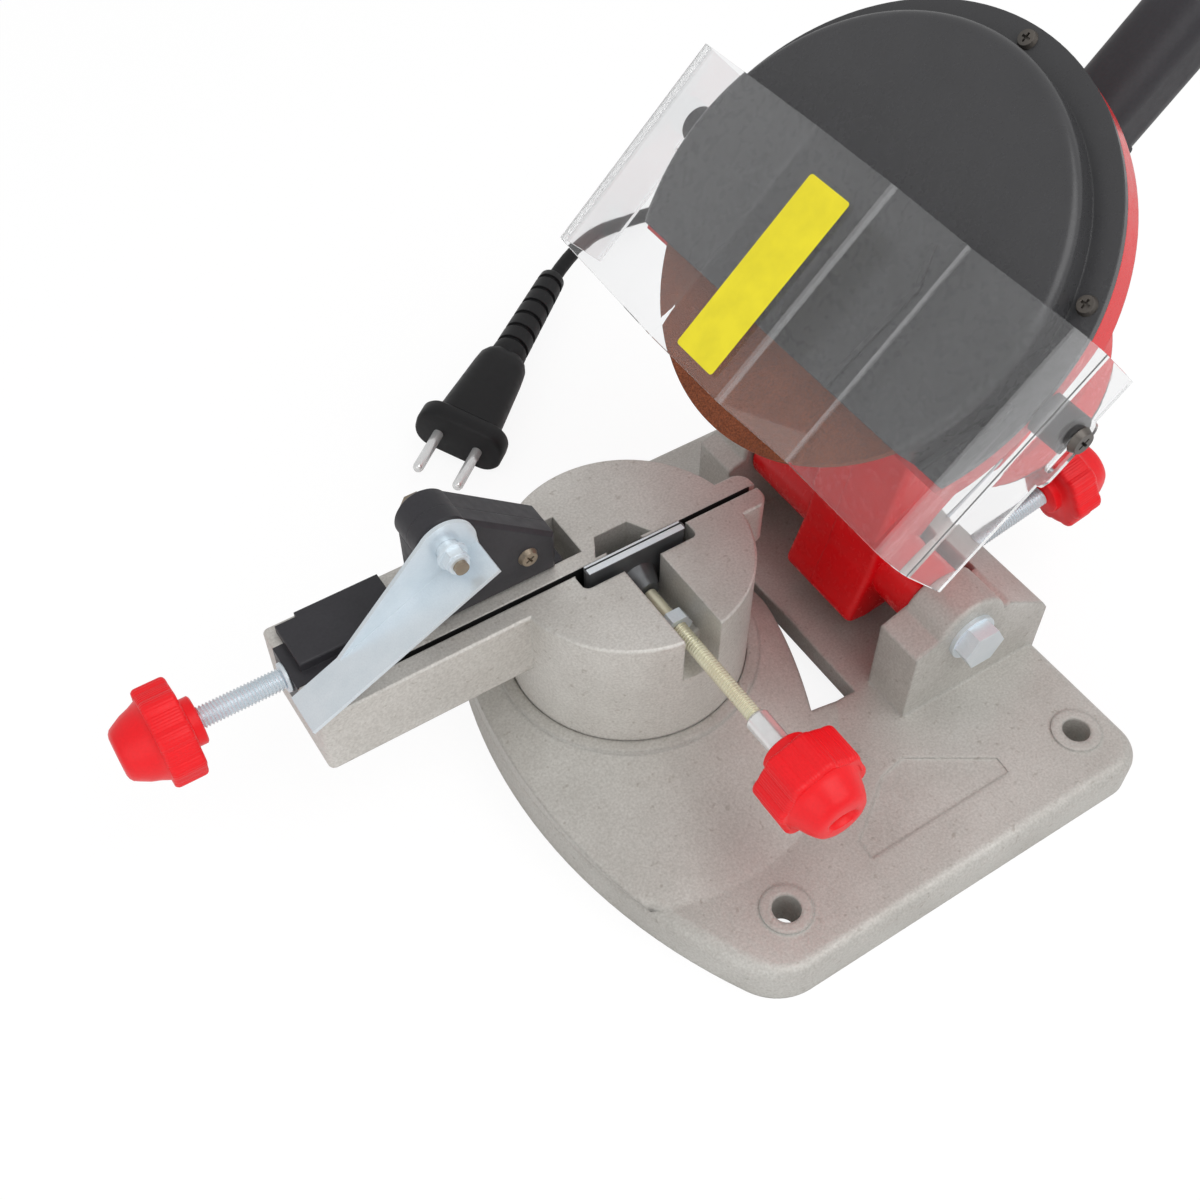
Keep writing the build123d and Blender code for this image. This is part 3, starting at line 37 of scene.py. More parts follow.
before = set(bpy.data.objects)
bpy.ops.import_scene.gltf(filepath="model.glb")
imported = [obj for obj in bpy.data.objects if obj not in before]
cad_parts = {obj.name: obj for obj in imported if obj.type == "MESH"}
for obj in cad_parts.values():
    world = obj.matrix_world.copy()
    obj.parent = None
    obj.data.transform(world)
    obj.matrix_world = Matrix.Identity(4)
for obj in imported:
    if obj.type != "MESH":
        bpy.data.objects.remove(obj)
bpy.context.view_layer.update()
MM = 0.001
UP = Vector((0, 0, 1))
BOLT_CENTRE = Vector((55.5, -24.25, 0))


def mm(x, y, z):
    return (Vector((x, y, z)) - BOLT_CENTRE) * MM


# ---- places shared with the CAD ---------------------------------------------
PIVOT = mm(99.2, 0, 49.5)
ARM_TURN = math.radians(47)
ALONG = Vector((math.sin(ARM_TURN), 0, math.cos(ARM_TURN)))     # up the arm
AHEAD = Vector((-math.cos(ARM_TURN), 0, math.sin(ARM_TURN)))    # towards the chain
ACROSS = Vector((0, 1, 0))
HUB_REACH = 77
HUB_Y = 1


def head(u, w, y=0.0):
    """A point of the head: u up the arm, w forwards, y across, in mm."""
    return PIVOT + (ALONG * u + AHEAD * w + ACROSS * y) * MM


# ---- camera -----------------------------------------------------------------
CAMERA_PLACE = (-192.49, -283.26, 474.24)
CAMERA_YAW = math.radians(-32.476)
CAMERA_PITCH = math.radians(50.856)
CAMERA_ROLL = math.radians(-0.253)
CAMERA_LENS = 43.56


def make_camera():
    yaw, pitch, roll = CAMERA_YAW, CAMERA_PITCH, CAMERA_ROLL
    back = Vector(
        (math.sin(yaw) * math.cos(pitch), -math.cos(yaw) * math.cos(pitch), math.sin(pitch))
    )
    right = Vector((math.cos(yaw), math.sin(yaw), 0))
    up = back.cross(right)
    right, up = (
        right * math.cos(roll) + up * math.sin(roll),
        up * math.cos(roll) - right * math.sin(roll),
    )
    data = bpy.data.cameras.new("camera")
    data.sensor_width = 36
    data.lens = CAMERA_LENS
    data.clip_start = 0.01
    camera = bpy.data.objects.new("camera", data)
    turned = Matrix((right, up, back)).transposed().to_4x4()
    camera.matrix_world = Matrix.Translation(mm(*CAMERA_PLACE)) @ turned
    bpy.context.scene.collection.objects.link(camera)
    bpy.context.scene.camera = camera


make_camera()


# ---- mesh tools -------------------------------------------------------------
def link(name, mesh):
    piece = bpy.data.objects.new(name, mesh)
    bpy.context.scene.collection.objects.link(piece)
    return piece


def mesh_from(name, build, sharp=35):
    """A mesh piece filled by build(bm), smooth apart from its sharp edges."""
    bm = bmesh.new()
    build(bm)
    bmesh.ops.recalc_face_normals(bm, faces=bm.faces)
    mesh = bpy.data.meshes.new(name)
    bm.to_mesh(mesh)
    bm.free()
    mesh.polygons.foreach_set("use_smooth", [True] * len(mesh.polygons))
    mesh.set_sharp_from_angle(angle=math.radians(sharp))
    return link(name, mesh)


def bridge(bm, rings):
    """Skins a row of equal point rings, and caps both ends."""
    loops = [[bm.verts.new(point) for point in ring] for ring in rings]
    count = len(loops[0])
    for low, high in zip(loops, loops[1:]):
        for i in range(count):
            j = (i + 1) % count
            bm.faces.new((low[i], low[j], high[j], high[i]))
    bm.faces.new(list(reversed(loops[0])))
    bm.faces.new(loops[-1])


def axes_for(way, hint=UP):
    """Two unit vectors square to way and to each other."""
    way = way.normalized()
    if abs(way.dot(hint)) > 0.95:
        hint = ACROSS
    first = hint.cross(way).normalized()
    return first, way.cross(first)


def lathe(origin, way, profile, count):
    """Rings about an axis from (radius, distance) pairs, in mm."""
    first, second = axes_for(way)
    rings = []
    for radius, reach in profile:
        centre = origin + way * reach * MM
        rings.append([
            centre + (first * math.cos(t) + second * math.sin(t)) * radius * MM
            for t in (2 * math.pi * i / count for i in range(count))
        ])
    return rings


THREAD_DEPTH = 0.55             # of the pitch
THREAD_SIDES = 32
ROWS_PER_PITCH = 8


def helix_rod(name, origin, way, length, radius, pitch):
    """A right-hand screw thread with a rounded vee, its ends chamfered."""
    depth = pitch * THREAD_DEPTH
    first, second = axes_for(way)
    rows = int(length / pitch * ROWS_PER_PITCH)

    def build(bm):
        rings = []
        for row in range(rows + 1):
            reach = length * row / rows
            end_room = min(reach, length - reach) / pitch
            points = []
            for i in range(THREAD_SIDES):
                turn = i / THREAD_SIDES
                phase = (reach / pitch - turn) % 1.0
                crest = min(max((1 - abs(2 * phase - 1)) * 1.3 - 0.15, 0), 1)
                r = radius - depth * (1 - crest * min(end_room / 0.8, 1))
                angle = 2 * math.pi * turn
                spot = first * math.cos(angle) + second * math.sin(angle)
                points.append(origin + (way * reach + spot * r) * MM)
            rings.append(points)
        bridge(bm, rings)

    return mesh_from(name, build, 50)


def rounded_loop(centre, first, second, width, height, corner, per_corner=6):
    """Points of a rounded rectangle, in mm across first and second."""
    corner = min(corner, width / 2 - 0.01, height / 2 - 0.01)
    points = []
    for quarter, (sx, sy) in enumerate(((1, 1), (-1, 1), (-1, -1), (1, -1))):
        for i in range(per_corner):
            angle = math.pi / 2 * (quarter + i / (per_corner - 1))
            x = sx * (width / 2 - corner) + corner * math.cos(angle)
            y = sy * (height / 2 - corner) + corner * math.sin(angle)
            points.append(centre + (first * x + second * y) * MM)
    return points


# ---- materials --------------------------------------------------------------
class Surface:
    """A Principled material that its recipe adds detail to."""

    def __init__(self, name, colour, roughness, metallic=0.0, edge=0.0):
        """edge is the radius in mm by which the shading rounds sharp edges."""
        self.material = bpy.data.materials.new(name)
        self.material.use_nodes = True
        self.tree = self.material.node_tree
        self.shader = self.tree.nodes["Principled BSDF"]
        self.shader.inputs["Base Color"].default_value = (*colour, 1)
        self.shader.inputs["Roughness"].default_value = roughness
        self.shader.inputs["Metallic"].default_value = metallic
        self.normal = None
        self.colour = None
        self.base = colour
        self.place = self.node("ShaderNodeTexCoord").outputs["Object"]
        if edge:
            bevel = self.node("ShaderNodeBevel")
            bevel.samples = 4
            bevel.inputs["Radius"].default_value = edge * MM
            self.normal = bevel.outputs["Normal"]

    def node(self, kind, **settings):
        made = self.tree.nodes.new(kind)
        for key, value in settings.items():
            setattr(made, key, value)
        return made

    def join(self, source, target):
        self.tree.links.new(source, target)

    def noise(self, size, detail=3.0, rough=0.55, stretch=None):
        """Noise with features about size mm across."""
        made = self.node("ShaderNodeTexNoise")
        made.inputs["Scale"].default_value = 1 / (size * MM)
        made.inputs["Detail"].default_value = detail
        made.inputs["Roughness"].default_value = rough
        place = self.place
        if stretch:
            mapping = self.node("ShaderNodeMapping")
            mapping.inputs["Scale"].default_value = stretch
            self.join(place, mapping.inputs["Vector"])
            place = mapping.outputs["Vector"]
        self.join(place, made.inputs["Vector"])
        return made.outputs["Fac"]

    def cells(self, size):
        """Distance to grain centres about size mm apart."""
        made = self.node("ShaderNodeTexVoronoi")
        made.inputs["Scale"].default_value = 1 / (size * MM)
        self.join(self.place, made.inputs["Vector"])
        return made.outputs["Distance"]

    def ramp(self, fac, low, high, start, end):
        made = self.node("ShaderNodeValToRGB")
        made.color_ramp.elements[0].position = start
        made.color_ramp.elements[1].position = end
        made.color_ramp.elements[0].color = (*low, 1)
        made.color_ramp.elements[1].color = (*high, 1)
        self.join(fac, made.inputs["Fac"])
        return made.outputs["Color"]

    def tint(self, fac, low, high, start=0.35, end=0.65):
        """Multiplies the colour so far by a ramp of fac."""
        shade = self.ramp(fac, low, high, start, end)
        mix = self.node("ShaderNodeMix", data_type="RGBA", blend_type="MULTIPLY")
        mix.inputs[0].default_value = 1.0
        if self.colour is None:
            mix.inputs[6].default_value = (*self.base, 1)
        else:
            self.join(self.colour, mix.inputs[6])
        self.join(shade, mix.inputs[7])
        self.colour = mix.outputs[2]
        self.join(self.colour, self.shader.inputs["Base Color"])

    def polish(self, fac, low, high, start=0.3, end=0.7):
        """Roughness runs from low to high with fac."""
        made = self.node("ShaderNodeMapRange")
        made.inputs["From Min"].default_value = start
        made.inputs["From Max"].default_value = end
        made.inputs["To Min"].default_value = low
        made.inputs["To Max"].default_value = high
        self.join(fac, made.inputs["Value"])
        self.join(made.outputs["Result"], self.shader.inputs["Roughness"])

    def bump(self, fac, depth):
        """Relief of fac, depth mm high."""
        made = self.node("ShaderNodeBump")
        made.inputs["Strength"].default_value = 1.0
        made.inputs["Distance"].default_value = depth * MM
        self.join(fac, made.inputs["Height"])
        if self.normal is not None:
            self.join(self.normal, made.inputs["Normal"])
        self.normal = made.outputs["Normal"]
        self.join(self.normal, self.shader.inputs["Normal"])

    def coat(self, weight):
        """Thin clear gloss over the colour."""
        self.shader.inputs["Coat Weight"].default_value = weight
        self.shader.inputs["Coat Roughness"].default_value = 0.08


def cast_metal(name, colour, roughness, grain, edge):
    """Die-cast aluminium: sandy skin, cloudy tone, a few dark pits."""
    made = Surface(name, colour, roughness, metallic=0.4, edge=edge)
    made.tint(made.noise(38, 4), (0.88, 0.87, 0.86), (1.06, 1.06, 1.06), 0.3, 0.7)
    made.tint(made.noise(0.9, 2), (0.86, 0.85, 0.84), (1.08, 1.08, 1.08), 0.3, 0.7)
    made.tint(made.noise(2.6, 2, 0.4), (0.80, 0.78, 0.76), (1, 1, 1), 0.24, 0.33)
    made.polish(made.noise(1.4, 2), roughness - 0.09, roughness + 0.1)
    made.bump(made.noise(9, 3), grain * 1.6)
    made.bump(made.noise(0.75, 3, 0.6), grain)
    return made.material


def plated(name, colour, roughness, low, high, edge=0.25, metallic=0.6):
    """Zinc or steel: cloudy spangle with fine handling marks."""
    made = Surface(name, colour, roughness, metallic, edge)
    made.tint(made.noise(11, 3), low, high, 0.3, 0.7)
    made.tint(made.noise(0.8, 2, 0.5, (1, 1, 5)), (0.96, 0.96, 0.97), (1.02, 1.02, 1.02), 0.3, 0.7)
    made.polish(made.noise(3.2, 3), roughness - 0.05, roughness + 0.07)
    made.bump(made.noise(0.5, 2, 0.5, (1, 1, 4)), 0.003)
    return made.material


def moulded(name, colour, roughness, grain, edge, cloud, gloss, coat=0.0):
    """Moulded plastic: even colour, faint flow marks, fine grain."""
    made = Surface(name, colour, roughness, edge=edge)
    made.tint(made.noise(24, 3), (1 - cloud,) * 3, (1 + cloud,) * 3, 0.3, 0.7)
    made.tint(made.noise(1.1, 2), (1 - cloud * 0.6,) * 3, (1 + cloud * 0.6,) * 3, 0.3, 0.7)
    made.polish(made.noise(3.5, 3), roughness - 0.05, roughness + 0.07)
    made.bump(made.noise(0.45, 2, 0.5), grain)
    made.shader.inputs["IOR"].default_value = 1.5
    made.shader.inputs["Specular IOR Level"].default_value = gloss
    if coat:
        made.coat(coat)
    return made.material


def abrasive(name):
    """Vitrified brown corundum: coarse grains with light and dark specks."""
    made = Surface(name, (0.215, 0.062, 0.024), 0.88)
    made.tint(made.cells(0.75), (0.72, 0.70, 0.70), (1.22, 1.18, 1.15), 0.05, 0.6)
    made.tint(made.noise(0.55, 2), (0.70, 0.66, 0.64), (1.35, 1.30, 1.26), 0.32, 0.7)
    made.tint(made.noise(16, 2), (0.90, 0.88, 0.86), (1.08, 1.08, 1.08))
    made.polish(made.noise(0.7, 2), 0.72, 0.95)
    made.bump(made.cells(0.6), 0.16)
    made.bump(made.noise(0.3, 2), 0.08)
    return made.material


def polycarbonate(name, haze_and_highlight):
    """Clear sheet with fine scratches and a share of white: haze on the flat panels, painted
    highlight on the bends and cut edges.
    """
    made = Surface(name, (0.95, 0.955, 0.96), 0.02)
    made.shader.inputs["Transmission Weight"].default_value = 1 - haze_and_highlight
    made.shader.inputs["IOR"].default_value = 1.45
    made.tint(made.noise(45, 2), (0.97, 0.97, 0.97), (1, 1, 1))
    made.polish(made.noise(6, 4, 0.6, (1, 6, 1)), 0.005, 0.06, 0.45, 0.8)
    made.bump(made.noise(14, 2), 0.01)
    return made.material


def chromed(name, colour):
    """Polished plating with the faintest waviness."""
    made = Surface(name, colour, 0.22, metallic=0.6, edge=0.3)
    made.tint(made.noise(4, 2), (0.95, 0.95, 0.95), (1.02, 1.02, 1.02))
    made.polish(made.noise(3, 2), 0.16, 0.26)
    made.bump(made.noise(2.5, 2), 0.002)
    return made.material


def printed(name):
    """Plain yellow film: faint mottle and a soft sheen."""
    made = Surface(name, (0.93, 0.80, 0.02), 0.38)
    made.tint(made.noise(9, 3), (0.95, 0.95, 0.93), (1.04, 1.04, 1.04))
    made.polish(made.noise(2.5, 3), 0.32, 0.46)
    made.bump(made.noise(1.2, 2), 0.01)
    return made.material


LOOK = {
    "cast": cast_metal("cast aluminium", (0.57, 0.56, 0.53), 0.50, grain=0.07, edge=2.2),
    "vise_cast": cast_metal(
        "cast aluminium, ground", (0.69, 0.675, 0.64), 0.44, grain=0.05, edge=1.0
    ),
    "zinc": plated(
        "zinc plate", (0.80, 0.86, 0.89), 0.36, (0.93, 0.95, 0.97), (1.02, 1.02, 1.03)
    ),
    # Lighter, less metallic copy of zinc for the clamp plate's top: painted highlight.
    "lit_top_zinc": plated(
        "zinc plate, painted lit top", (0.84, 0.88, 0.90), 0.40, (0.93, 0.95, 0.97), (1.0, 1.0, 1.0),
        edge=0.15, metallic=0.2,
    ),
    # Near-black sheet colour: painted shadow inside the chain slot.
    "slot_painted_shadow": plated(
        "painted slot shadow", (0.03, 0.03, 0.03), 0.5, (0.8, 0.8, 0.8), (1.2, 1.2, 1.2)
    ),
    "bronze": plated(
        "bronzed steel", (0.30, 0.25, 0.19), 0.34, (0.8, 0.8, 0.8), (1.2, 1.15, 1.1)
    ),
    # Dark steel for the clamp plate: painted shade for the shadow on its front face.
    "painted_shade_steel": plated(
        "dull steel, painted shade", (0.13, 0.135, 0.14), 0.38, (0.85, 0.85, 0.85), (1.15, 1.15, 1.15)
    ),
    "yellow_zinc": plated(
        "yellow zinc plate", (0.80, 0.77, 0.62), 0.32, (0.94, 0.91, 0.85), (1.03, 1.05, 1.0)
    ),
    "steel": plated(
        "bare steel", (0.50, 0.51, 0.53), 0.34, (0.88, 0.88, 0.90), (1.05, 1.05, 1.05)
    ),
    "dark_steel": plated(
        "black oxide", (0.13, 0.12, 0.11), 0.36, (0.8, 0.8, 0.8), (1.25, 1.2, 1.15)
    ),
    "copper": plated(
        "enamelled copper", (0.60, 0.26, 0.10), 0.3, (0.8, 0.8, 0.8), (1.15, 1.1, 1.1)
    ),
    "chrome": chromed("chrome", (0.90, 0.91, 0.91)),
    "red_knob": moulded(
        "red plastic", (0.93, 0.008, 0.014), 0.36, grain=0.012, edge=0.5, cloud=0.05, gloss=0.35
    ),
    "red_shell": moulded(
        "deep red plastic", (0.74, 0.002, 0.006), 0.24, grain=0.008, edge=0.9, cloud=0.05,
        gloss=0.35, coat=0.15,
    ),
    "black": moulded(
        "black plastic", (0.034, 0.033, 0.038), 0.42, grain=0.02, edge=0.6, cloud=0.12, gloss=0.35
    ),
    "cover": moulded(
        "black cover", (0.052, 0.052, 0.055), 0.28, grain=0.004, edge=0.8, cloud=0.05, gloss=0.5
    ),
    "plug_black": moulded(
        "black plug", (0.010, 0.010, 0.011), 0.42, grain=0.02, edge=0.6, cloud=0.12, gloss=0.3
    ),
    "black_rubber": moulded(
        "black sleeve", (0.008, 0.008, 0.009), 0.5, grain=0.02, edge=0.0, cloud=0.2, gloss=0.25
    ),
    "clear": polycarbonate("clear sheet", 0.02),
    # Whiter sheets for the bends and cut edges: painted highlight, with real frosting on the cut
    # edges.
    "clear_bend_highlight": polycarbonate("clear sheet, painted bend highlight", 0.14),
    "clear_edge_frost_and_highlight": polycarbonate("clear sheet, frosted cut edge, painted highlight", 0.45),
    "abrasive": abrasive("abrasive"),
    "yellow": printed("yellow film"),
}


def paint(piece, look):
    """Gives the piece one material in place of any that it has."""
    piece.data.materials.clear()
    piece.data.materials.append(LOOK[look])


def dress(node, look):
    """Gives a CAD node that is shown its material."""
    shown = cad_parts[node]
    if not shown.material_slots:
        shown.data.materials.append(None)
    for place in shown.material_slots:
        place.material = LOOK[look]


def place(piece, body, look, *nodes, slot=None):
    """Paints the piece, hides the CAD nodes that it stands for, and fixes it to its body."""
    paint(piece, look)
    if nodes:
        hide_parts(*nodes)
    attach(piece, body)
    return piece


# ---- mains lead -------------------------------------------------------------
CORD = 7.0
COIL = (252, 150)
COIL_TURN_R = 49.0              # middle of the outermost turn
COIL_RINGS = 3                  # turns side by side in each layer
COIL_JOIN = 45                  # degrees that the top layer runs past its turns
COIL_PER_TURN = 16              # points of the line in each turn
COIL_LIFT = 0.1
STEP_OUT, CLIMB, STEP_IN = (105, 195), (195, 270), (270, 360)

HEAD_RUN = [
    (178.3, 25, 45.3), (200.1, 25, 21.9), (228, 29, 7), (257, 42, 3.6), (281, 66, 3.6),
    (294, 98, 3.6), (301, 128, 3.6), (300.8, 150, 3.6),
]
PLUG_TIP = Vector((-15.0, 128.8, 14.4))
PLUG_WAY = Vector((0.788, 0.617, 0)).normalized()
PLUG_ROLL = math.radians(16)
RELIEF_END = 146                # of the strain relief, back from the flange's face
RELIEF_RINGS = 6                # grooves round it
PIN_SPACE = 9.5                 # from the plug's middle to each pin
PLUG_RUN = [
    (265, 207, 9.5), (235, 226, 5), (204, 241, 3.6), (171, 247, 6),
    tuple(PLUG_TIP + PLUG_WAY * (RELIEF_END + 33)),
    tuple(PLUG_TIP + PLUG_WAY * (RELIEF_END - 12)),
]


def coil_points():
    """Two layers of turns: inwards on the floor, then outwards on top of them.

    Turns are counted in degrees. The last floor turn climbs at one place, the
    floor turns step inwards just after it, and the top turns step outwards
    just before it, so no turn lies in another.
    """
    swell = 1 / (0.75 + 0.25 * math.cos(2 * math.pi / COIL_PER_TURN))
    low, high = CORD / 2 + COIL_LIFT, CORD * 1.5 + COIL_LIFT

    def eased(angle, span):
        t = min(max((angle - span[0]) / (span[1] - span[0]), 0), 1)
        return t * t * (3 - 2 * t)

    points = []
    last = (2 * COIL_RINGS - 1) * 360 + COIL_JOIN
    count = int(last / (360 / COIL_PER_TURN))
    for i in range(1, count + 1):
        whole = i * 360 / COIL_PER_TURN
        turn, angle = int(whole // 360), whole % 360
        if turn < COIL_RINGS:
            ring = turn + (eased(angle, STEP_IN) if turn < COIL_RINGS - 1 else 0)
            height = low
            if turn == COIL_RINGS - 1:
                height += (high - low) * eased(angle, CLIMB)
        else:
            ring = 2 * COIL_RINGS - 1 - turn - eased(angle, STEP_OUT)
            height = high
        radius = (COIL_TURN_R - CORD * ring) * swell
        spot = math.radians(whole)
        points.append(
            (COIL[0] + radius * math.cos(spot), COIL[1] + radius * math.sin(spot), height)
        )
    return points


def lead_curve(points, bevel):
    """The lead's smooth line, as a tube where bevel is its radius."""
    data = bpy.data.curves.new("lead_line", "CURVE")
    data.dimensions = "3D"
    data.bevel_depth = bevel
    data.bevel_resolution = 6
    data.resolution_u = 8
    data.use_fill_caps = True
    spline = data.splines.new("NURBS")
    spline.points.add(len(points) - 1)
    for spot, point in zip(spline.points, points):
        spot.co = (*mm(*point), 1)
    spline.order_u = 3
    spline.use_endpoint_u = True
    return bpy.data.objects.new("lead_line", data)


def make_lead():
    """One tube from the gland to the plug, lifted at its start by the head."""
    route = HEAD_RUN + coil_points() + PLUG_RUN
    line = bpy.data.meshes.new_from_object(lead_curve(route, 0.0))
    path = [tuple(v.co) for v in line.vertices]
    tube = link("mains_lead", bpy.data.meshes.new_from_object(lead_curve(route, CORD / 2 * MM)))
    tube.data.name = "mains_lead"
    tube.data.polygons.foreach_set("use_smooth", [True] * len(tube.data.polygons))
    paint(tube, "black_rubber")
    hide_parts("cord_head_run", "cord_plug_run", "cord_coil")
    length = sum((Vector(b) - Vector(a)).length for a, b in zip(path, path[1:]))
    return tube, path, length


lead, lead_path, lead_length = make_lead()


# ---- plug -------------------------------------------------------------------
def make_plug():
    """Moulded plug lying on one end of its flange, with a ribbed strain relief."""
    level = Vector((PLUG_WAY.y, -PLUG_WAY.x, 0))
    first = level * math.cos(PLUG_ROLL) - UP * math.sin(PLUG_ROLL)
    second = PLUG_WAY.cross(first)

    def at(reach):
        return mm(*(PLUG_TIP + PLUG_WAY * reach))

    # reach from the pins' tips, width, height and corner radius
    flange = [
        (24.0, 39.5, 19.5, 8.5), (24.5, 41, 21, 8.8), (25.5, 42, 22, 9), (32.5, 42, 22, 9),
        (33.5, 41, 21, 8.8), (34.0, 39.5, 19.5, 8.5),
    ]
    body = [
        (33.8, 30, 21, 7), (36, 29.6, 20.8, 7), (72, 24.5, 18.6, 7), (77, 23.4, 18.0, 7),
        (80.5, 20.6, 16.6, 7), (82.0, 17.4, 15.6, 7),
    ]

    def shell(bm):
        for sections in (flange, body):
            rings = [
                rounded_loop(at(reach), first, second, width, height, corner, 9)
                for reach, width, height, corner in sections
            ]
            bridge(bm, rings)
        relief = [(8.0, 81.0), (8.6, 82.0)]
        for i in range(RELIEF_RINGS):
            here = 90.0 + (140.0 - 90.0) * i / (RELIEF_RINGS - 1)
            radius = 8.4 - 1.9 * (here - 82) / 64
            relief += [
                (radius, here - 1.3), (radius - 1.3, here - 1.1),
                (radius - 1.3, here + 1.1), (radius - 0.1, here + 1.3),
            ]
        relief += [(6.3, RELIEF_END - 1.0), (5.6, RELIEF_END), (3.7, RELIEF_END)]
        bridge(bm, lathe(at(0), PLUG_WAY, relief, 48))

    def pins(bm):
        for way in (-1, 1):
            root = at(0) + first * way * PIN_SPACE * MM
            profile = [(0.5, 0.0), (1.5, 0.25), (2.1, 0.9), (2.4, 2.0), (2.4, 24.5)]
            bridge(bm, lathe(root, PLUG_WAY, profile, 32))

    plug = mesh_from("plug", shell, 40)
    place(plug, "base", "plug_black", "plug_body", slot="black")
    prongs = mesh_from("plug_prongs", pins, 40)
    place(prongs, "base", "chrome", "plug_pins")
    return plug, prongs


plug_pieces = make_plug()
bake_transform(lead)


# ---- gland ------------------------------------------------------------------
GLAND_RINGS = 6
GLAND_PITCH = 3.6


def make_gland(bm):
    """Flanged sleeve that tapers in ribs towards the lead."""
    profile = [
        (5.4, -25.2), (5.4, -27.0), (7.9, -27.0), (8.0, -27.4), (8.0, -29.2), (7.6, -29.6),
        (6.1, -29.6),
    ]
    for i in range(GLAND_RINGS):
        here = -32.5 - GLAND_PITCH * i
        radius = 6.0 - 1.5 * (i + 0.5) / 7
        profile += [
            (radius, here + 1.5), (radius - 0.9, here + 0.9),
            (radius - 0.9, here - 0.3), (radius - 0.15, here - 0.9),
        ]
    profile += [(4.4, -55.6), (4.2, -57.0), (3.6, -57.0)]
    bridge(bm, lathe(head(55, 0, 25), AHEAD, profile, 40))


place(mesh_from("lead_gland", make_gland, 40), "head", "black_rubber", "cord_gland", slot="black")


# ---- star knobs -------------------------------------------------------------
KNOB_R = 18.0
KNOB_LOBES = 8
KNOB_HOLLOW_R = KNOB_R * 0.93
HUB_R = KNOB_R * 0.8
HUB_LEAN = math.tan(math.radians(20))
GRIP_RIBS = 96
GRIP_DEPTH = 0.09
KNOB_SIDES = 480


def rim_radius(angle):
    """Outline of the star rim: round lobes with shallow hollows between them."""
    lobe_r = KNOB_R * 0.26
    ring_r = KNOB_R - lobe_r
    step = 2 * math.pi / KNOB_LOBES
    off = (angle + step / 2) % step - step / 2
    reach = lobe_r ** 2 - (ring_r * math.sin(off)) ** 2
    lobe = ring_r * math.cos(off) + math.sqrt(reach) if reach > 0 else 0
    ribbed = GRIP_DEPTH * math.cos(angle * GRIP_RIBS)
    return max(lobe, KNOB_HOLLOW_R) - GRIP_DEPTH + ribbed


def make_knob(name, body, node, origin, way, collar_h, rim_h, hub_h, hint=UP):
    """Star rim with fine grip ribs, on a collar, and a domed hub with a recess."""
    first, second = axes_for(way, hint)
    top = collar_h + rim_h
    end = top + hub_h

    def circle(radius, reach, wide=1.0):
        return [(radius * math.cos(t) * wide, radius * math.sin(t), reach) for t in angles]

    def star(inset, reach):
        return [
            ((rim_radius(t) - inset) * math.cos(t), (rim_radius(t) - inset) * math.sin(t), reach)
            for t in angles
        ]

    angles = [2 * math.pi * i / KNOB_SIDES for i in range(KNOB_SIDES)]
    crown = HUB_R - HUB_LEAN * hub_h
    rings = [
        circle(8.0, 0.0), circle(8.6, 0.5), circle(8.6, collar_h - 0.6), circle(9.4, collar_h),
        star(3.4, collar_h), star(1.3, collar_h + 0.1), star(0.5, collar_h + 0.5),
        star(0.12, collar_h + 1.1), star(0.0, collar_h + 1.9),
        star(0.0, top - 1.9), star(0.12, top - 1.1), star(0.5, top - 0.5),
        star(0.9, top - 0.1), star(1.5, top),
        circle(HUB_R + 0.6, top - 0.25), circle(HUB_R, top),
        circle(HUB_R - 0.5 - HUB_LEAN * hub_h * 0.2, top + hub_h * 0.24),
        circle(HUB_R - 0.5 - HUB_LEAN * hub_h * 0.45, top + hub_h * 0.5),
        circle(crown + 0.2, end - hub_h * 0.24), circle(crown - 0.8, end - hub_h * 0.1),
        circle(crown - 2.0, end - hub_h * 0.03), circle(crown - 3.4, end),
        circle(HUB_R * 0.27, end, 1.6), circle(HUB_R * 0.24, end - 0.5, 1.6),
        circle(HUB_R * 0.20, end - hub_h * 0.28, 1.6),
        circle(HUB_R * 0.08, end - hub_h * 0.3, 1.6),
    ]

    def build(bm):
        bridge(bm, [
            [origin + (first * x + second * y + way * z) * MM for x, y, z in ring]
            for ring in rings
        ])

    place(mesh_from(name, build, 45), body, "red_knob", node)


BACK = Vector((0, -1, 0))
LEFT = Vector((-1, 0, 0))
STOP_SLOPE = math.radians(11.5)
STOP_WAY = Vector((math.cos(STOP_SLOPE), 0, math.sin(STOP_SLOPE)))
STOP_POINT = mm(124.7, -40.0, 37.0)
CLAMP_X, CLAMP_Z = 1, 69.5
ADJUST_Y, ADJUST_Z = 18.5, 77.5

make_knob(
    "clamp_knob_red", "clamp_handle", "clamp_knob", mm(CLAMP_X, -92, CLAMP_Z), BACK, 6, 16, 10
)
make_knob(
    "adjuster_knob_red", "adjuster", "adjust_knob", mm(-158, ADJUST_Y, ADJUST_Z), LEFT, 4, 12, 12
)
make_knob(
    "stop_knob_red", "stop_handle", "depth_knob", STOP_POINT + STOP_WAY * 49 * MM, STOP_WAY,
    4, 12, 10,
)
make_knob("lock_knob_red", "lock_handle", "lock_knob", mm(0, 0, 11.8), -UP, 1.4, 6.8, 2.0, ACROSS)


# ---- screws -----------------------------------------------------------------
def rod(name, body, look, *parts):
    """Turned pieces, each a place, a way and (radius, distance) pairs, in one mesh."""
    def build(bm):
        for origin, way, profile in parts:
            bridge(bm, lathe(origin, way, profile, 40))

    place(mesh_from(name, build), body, look)


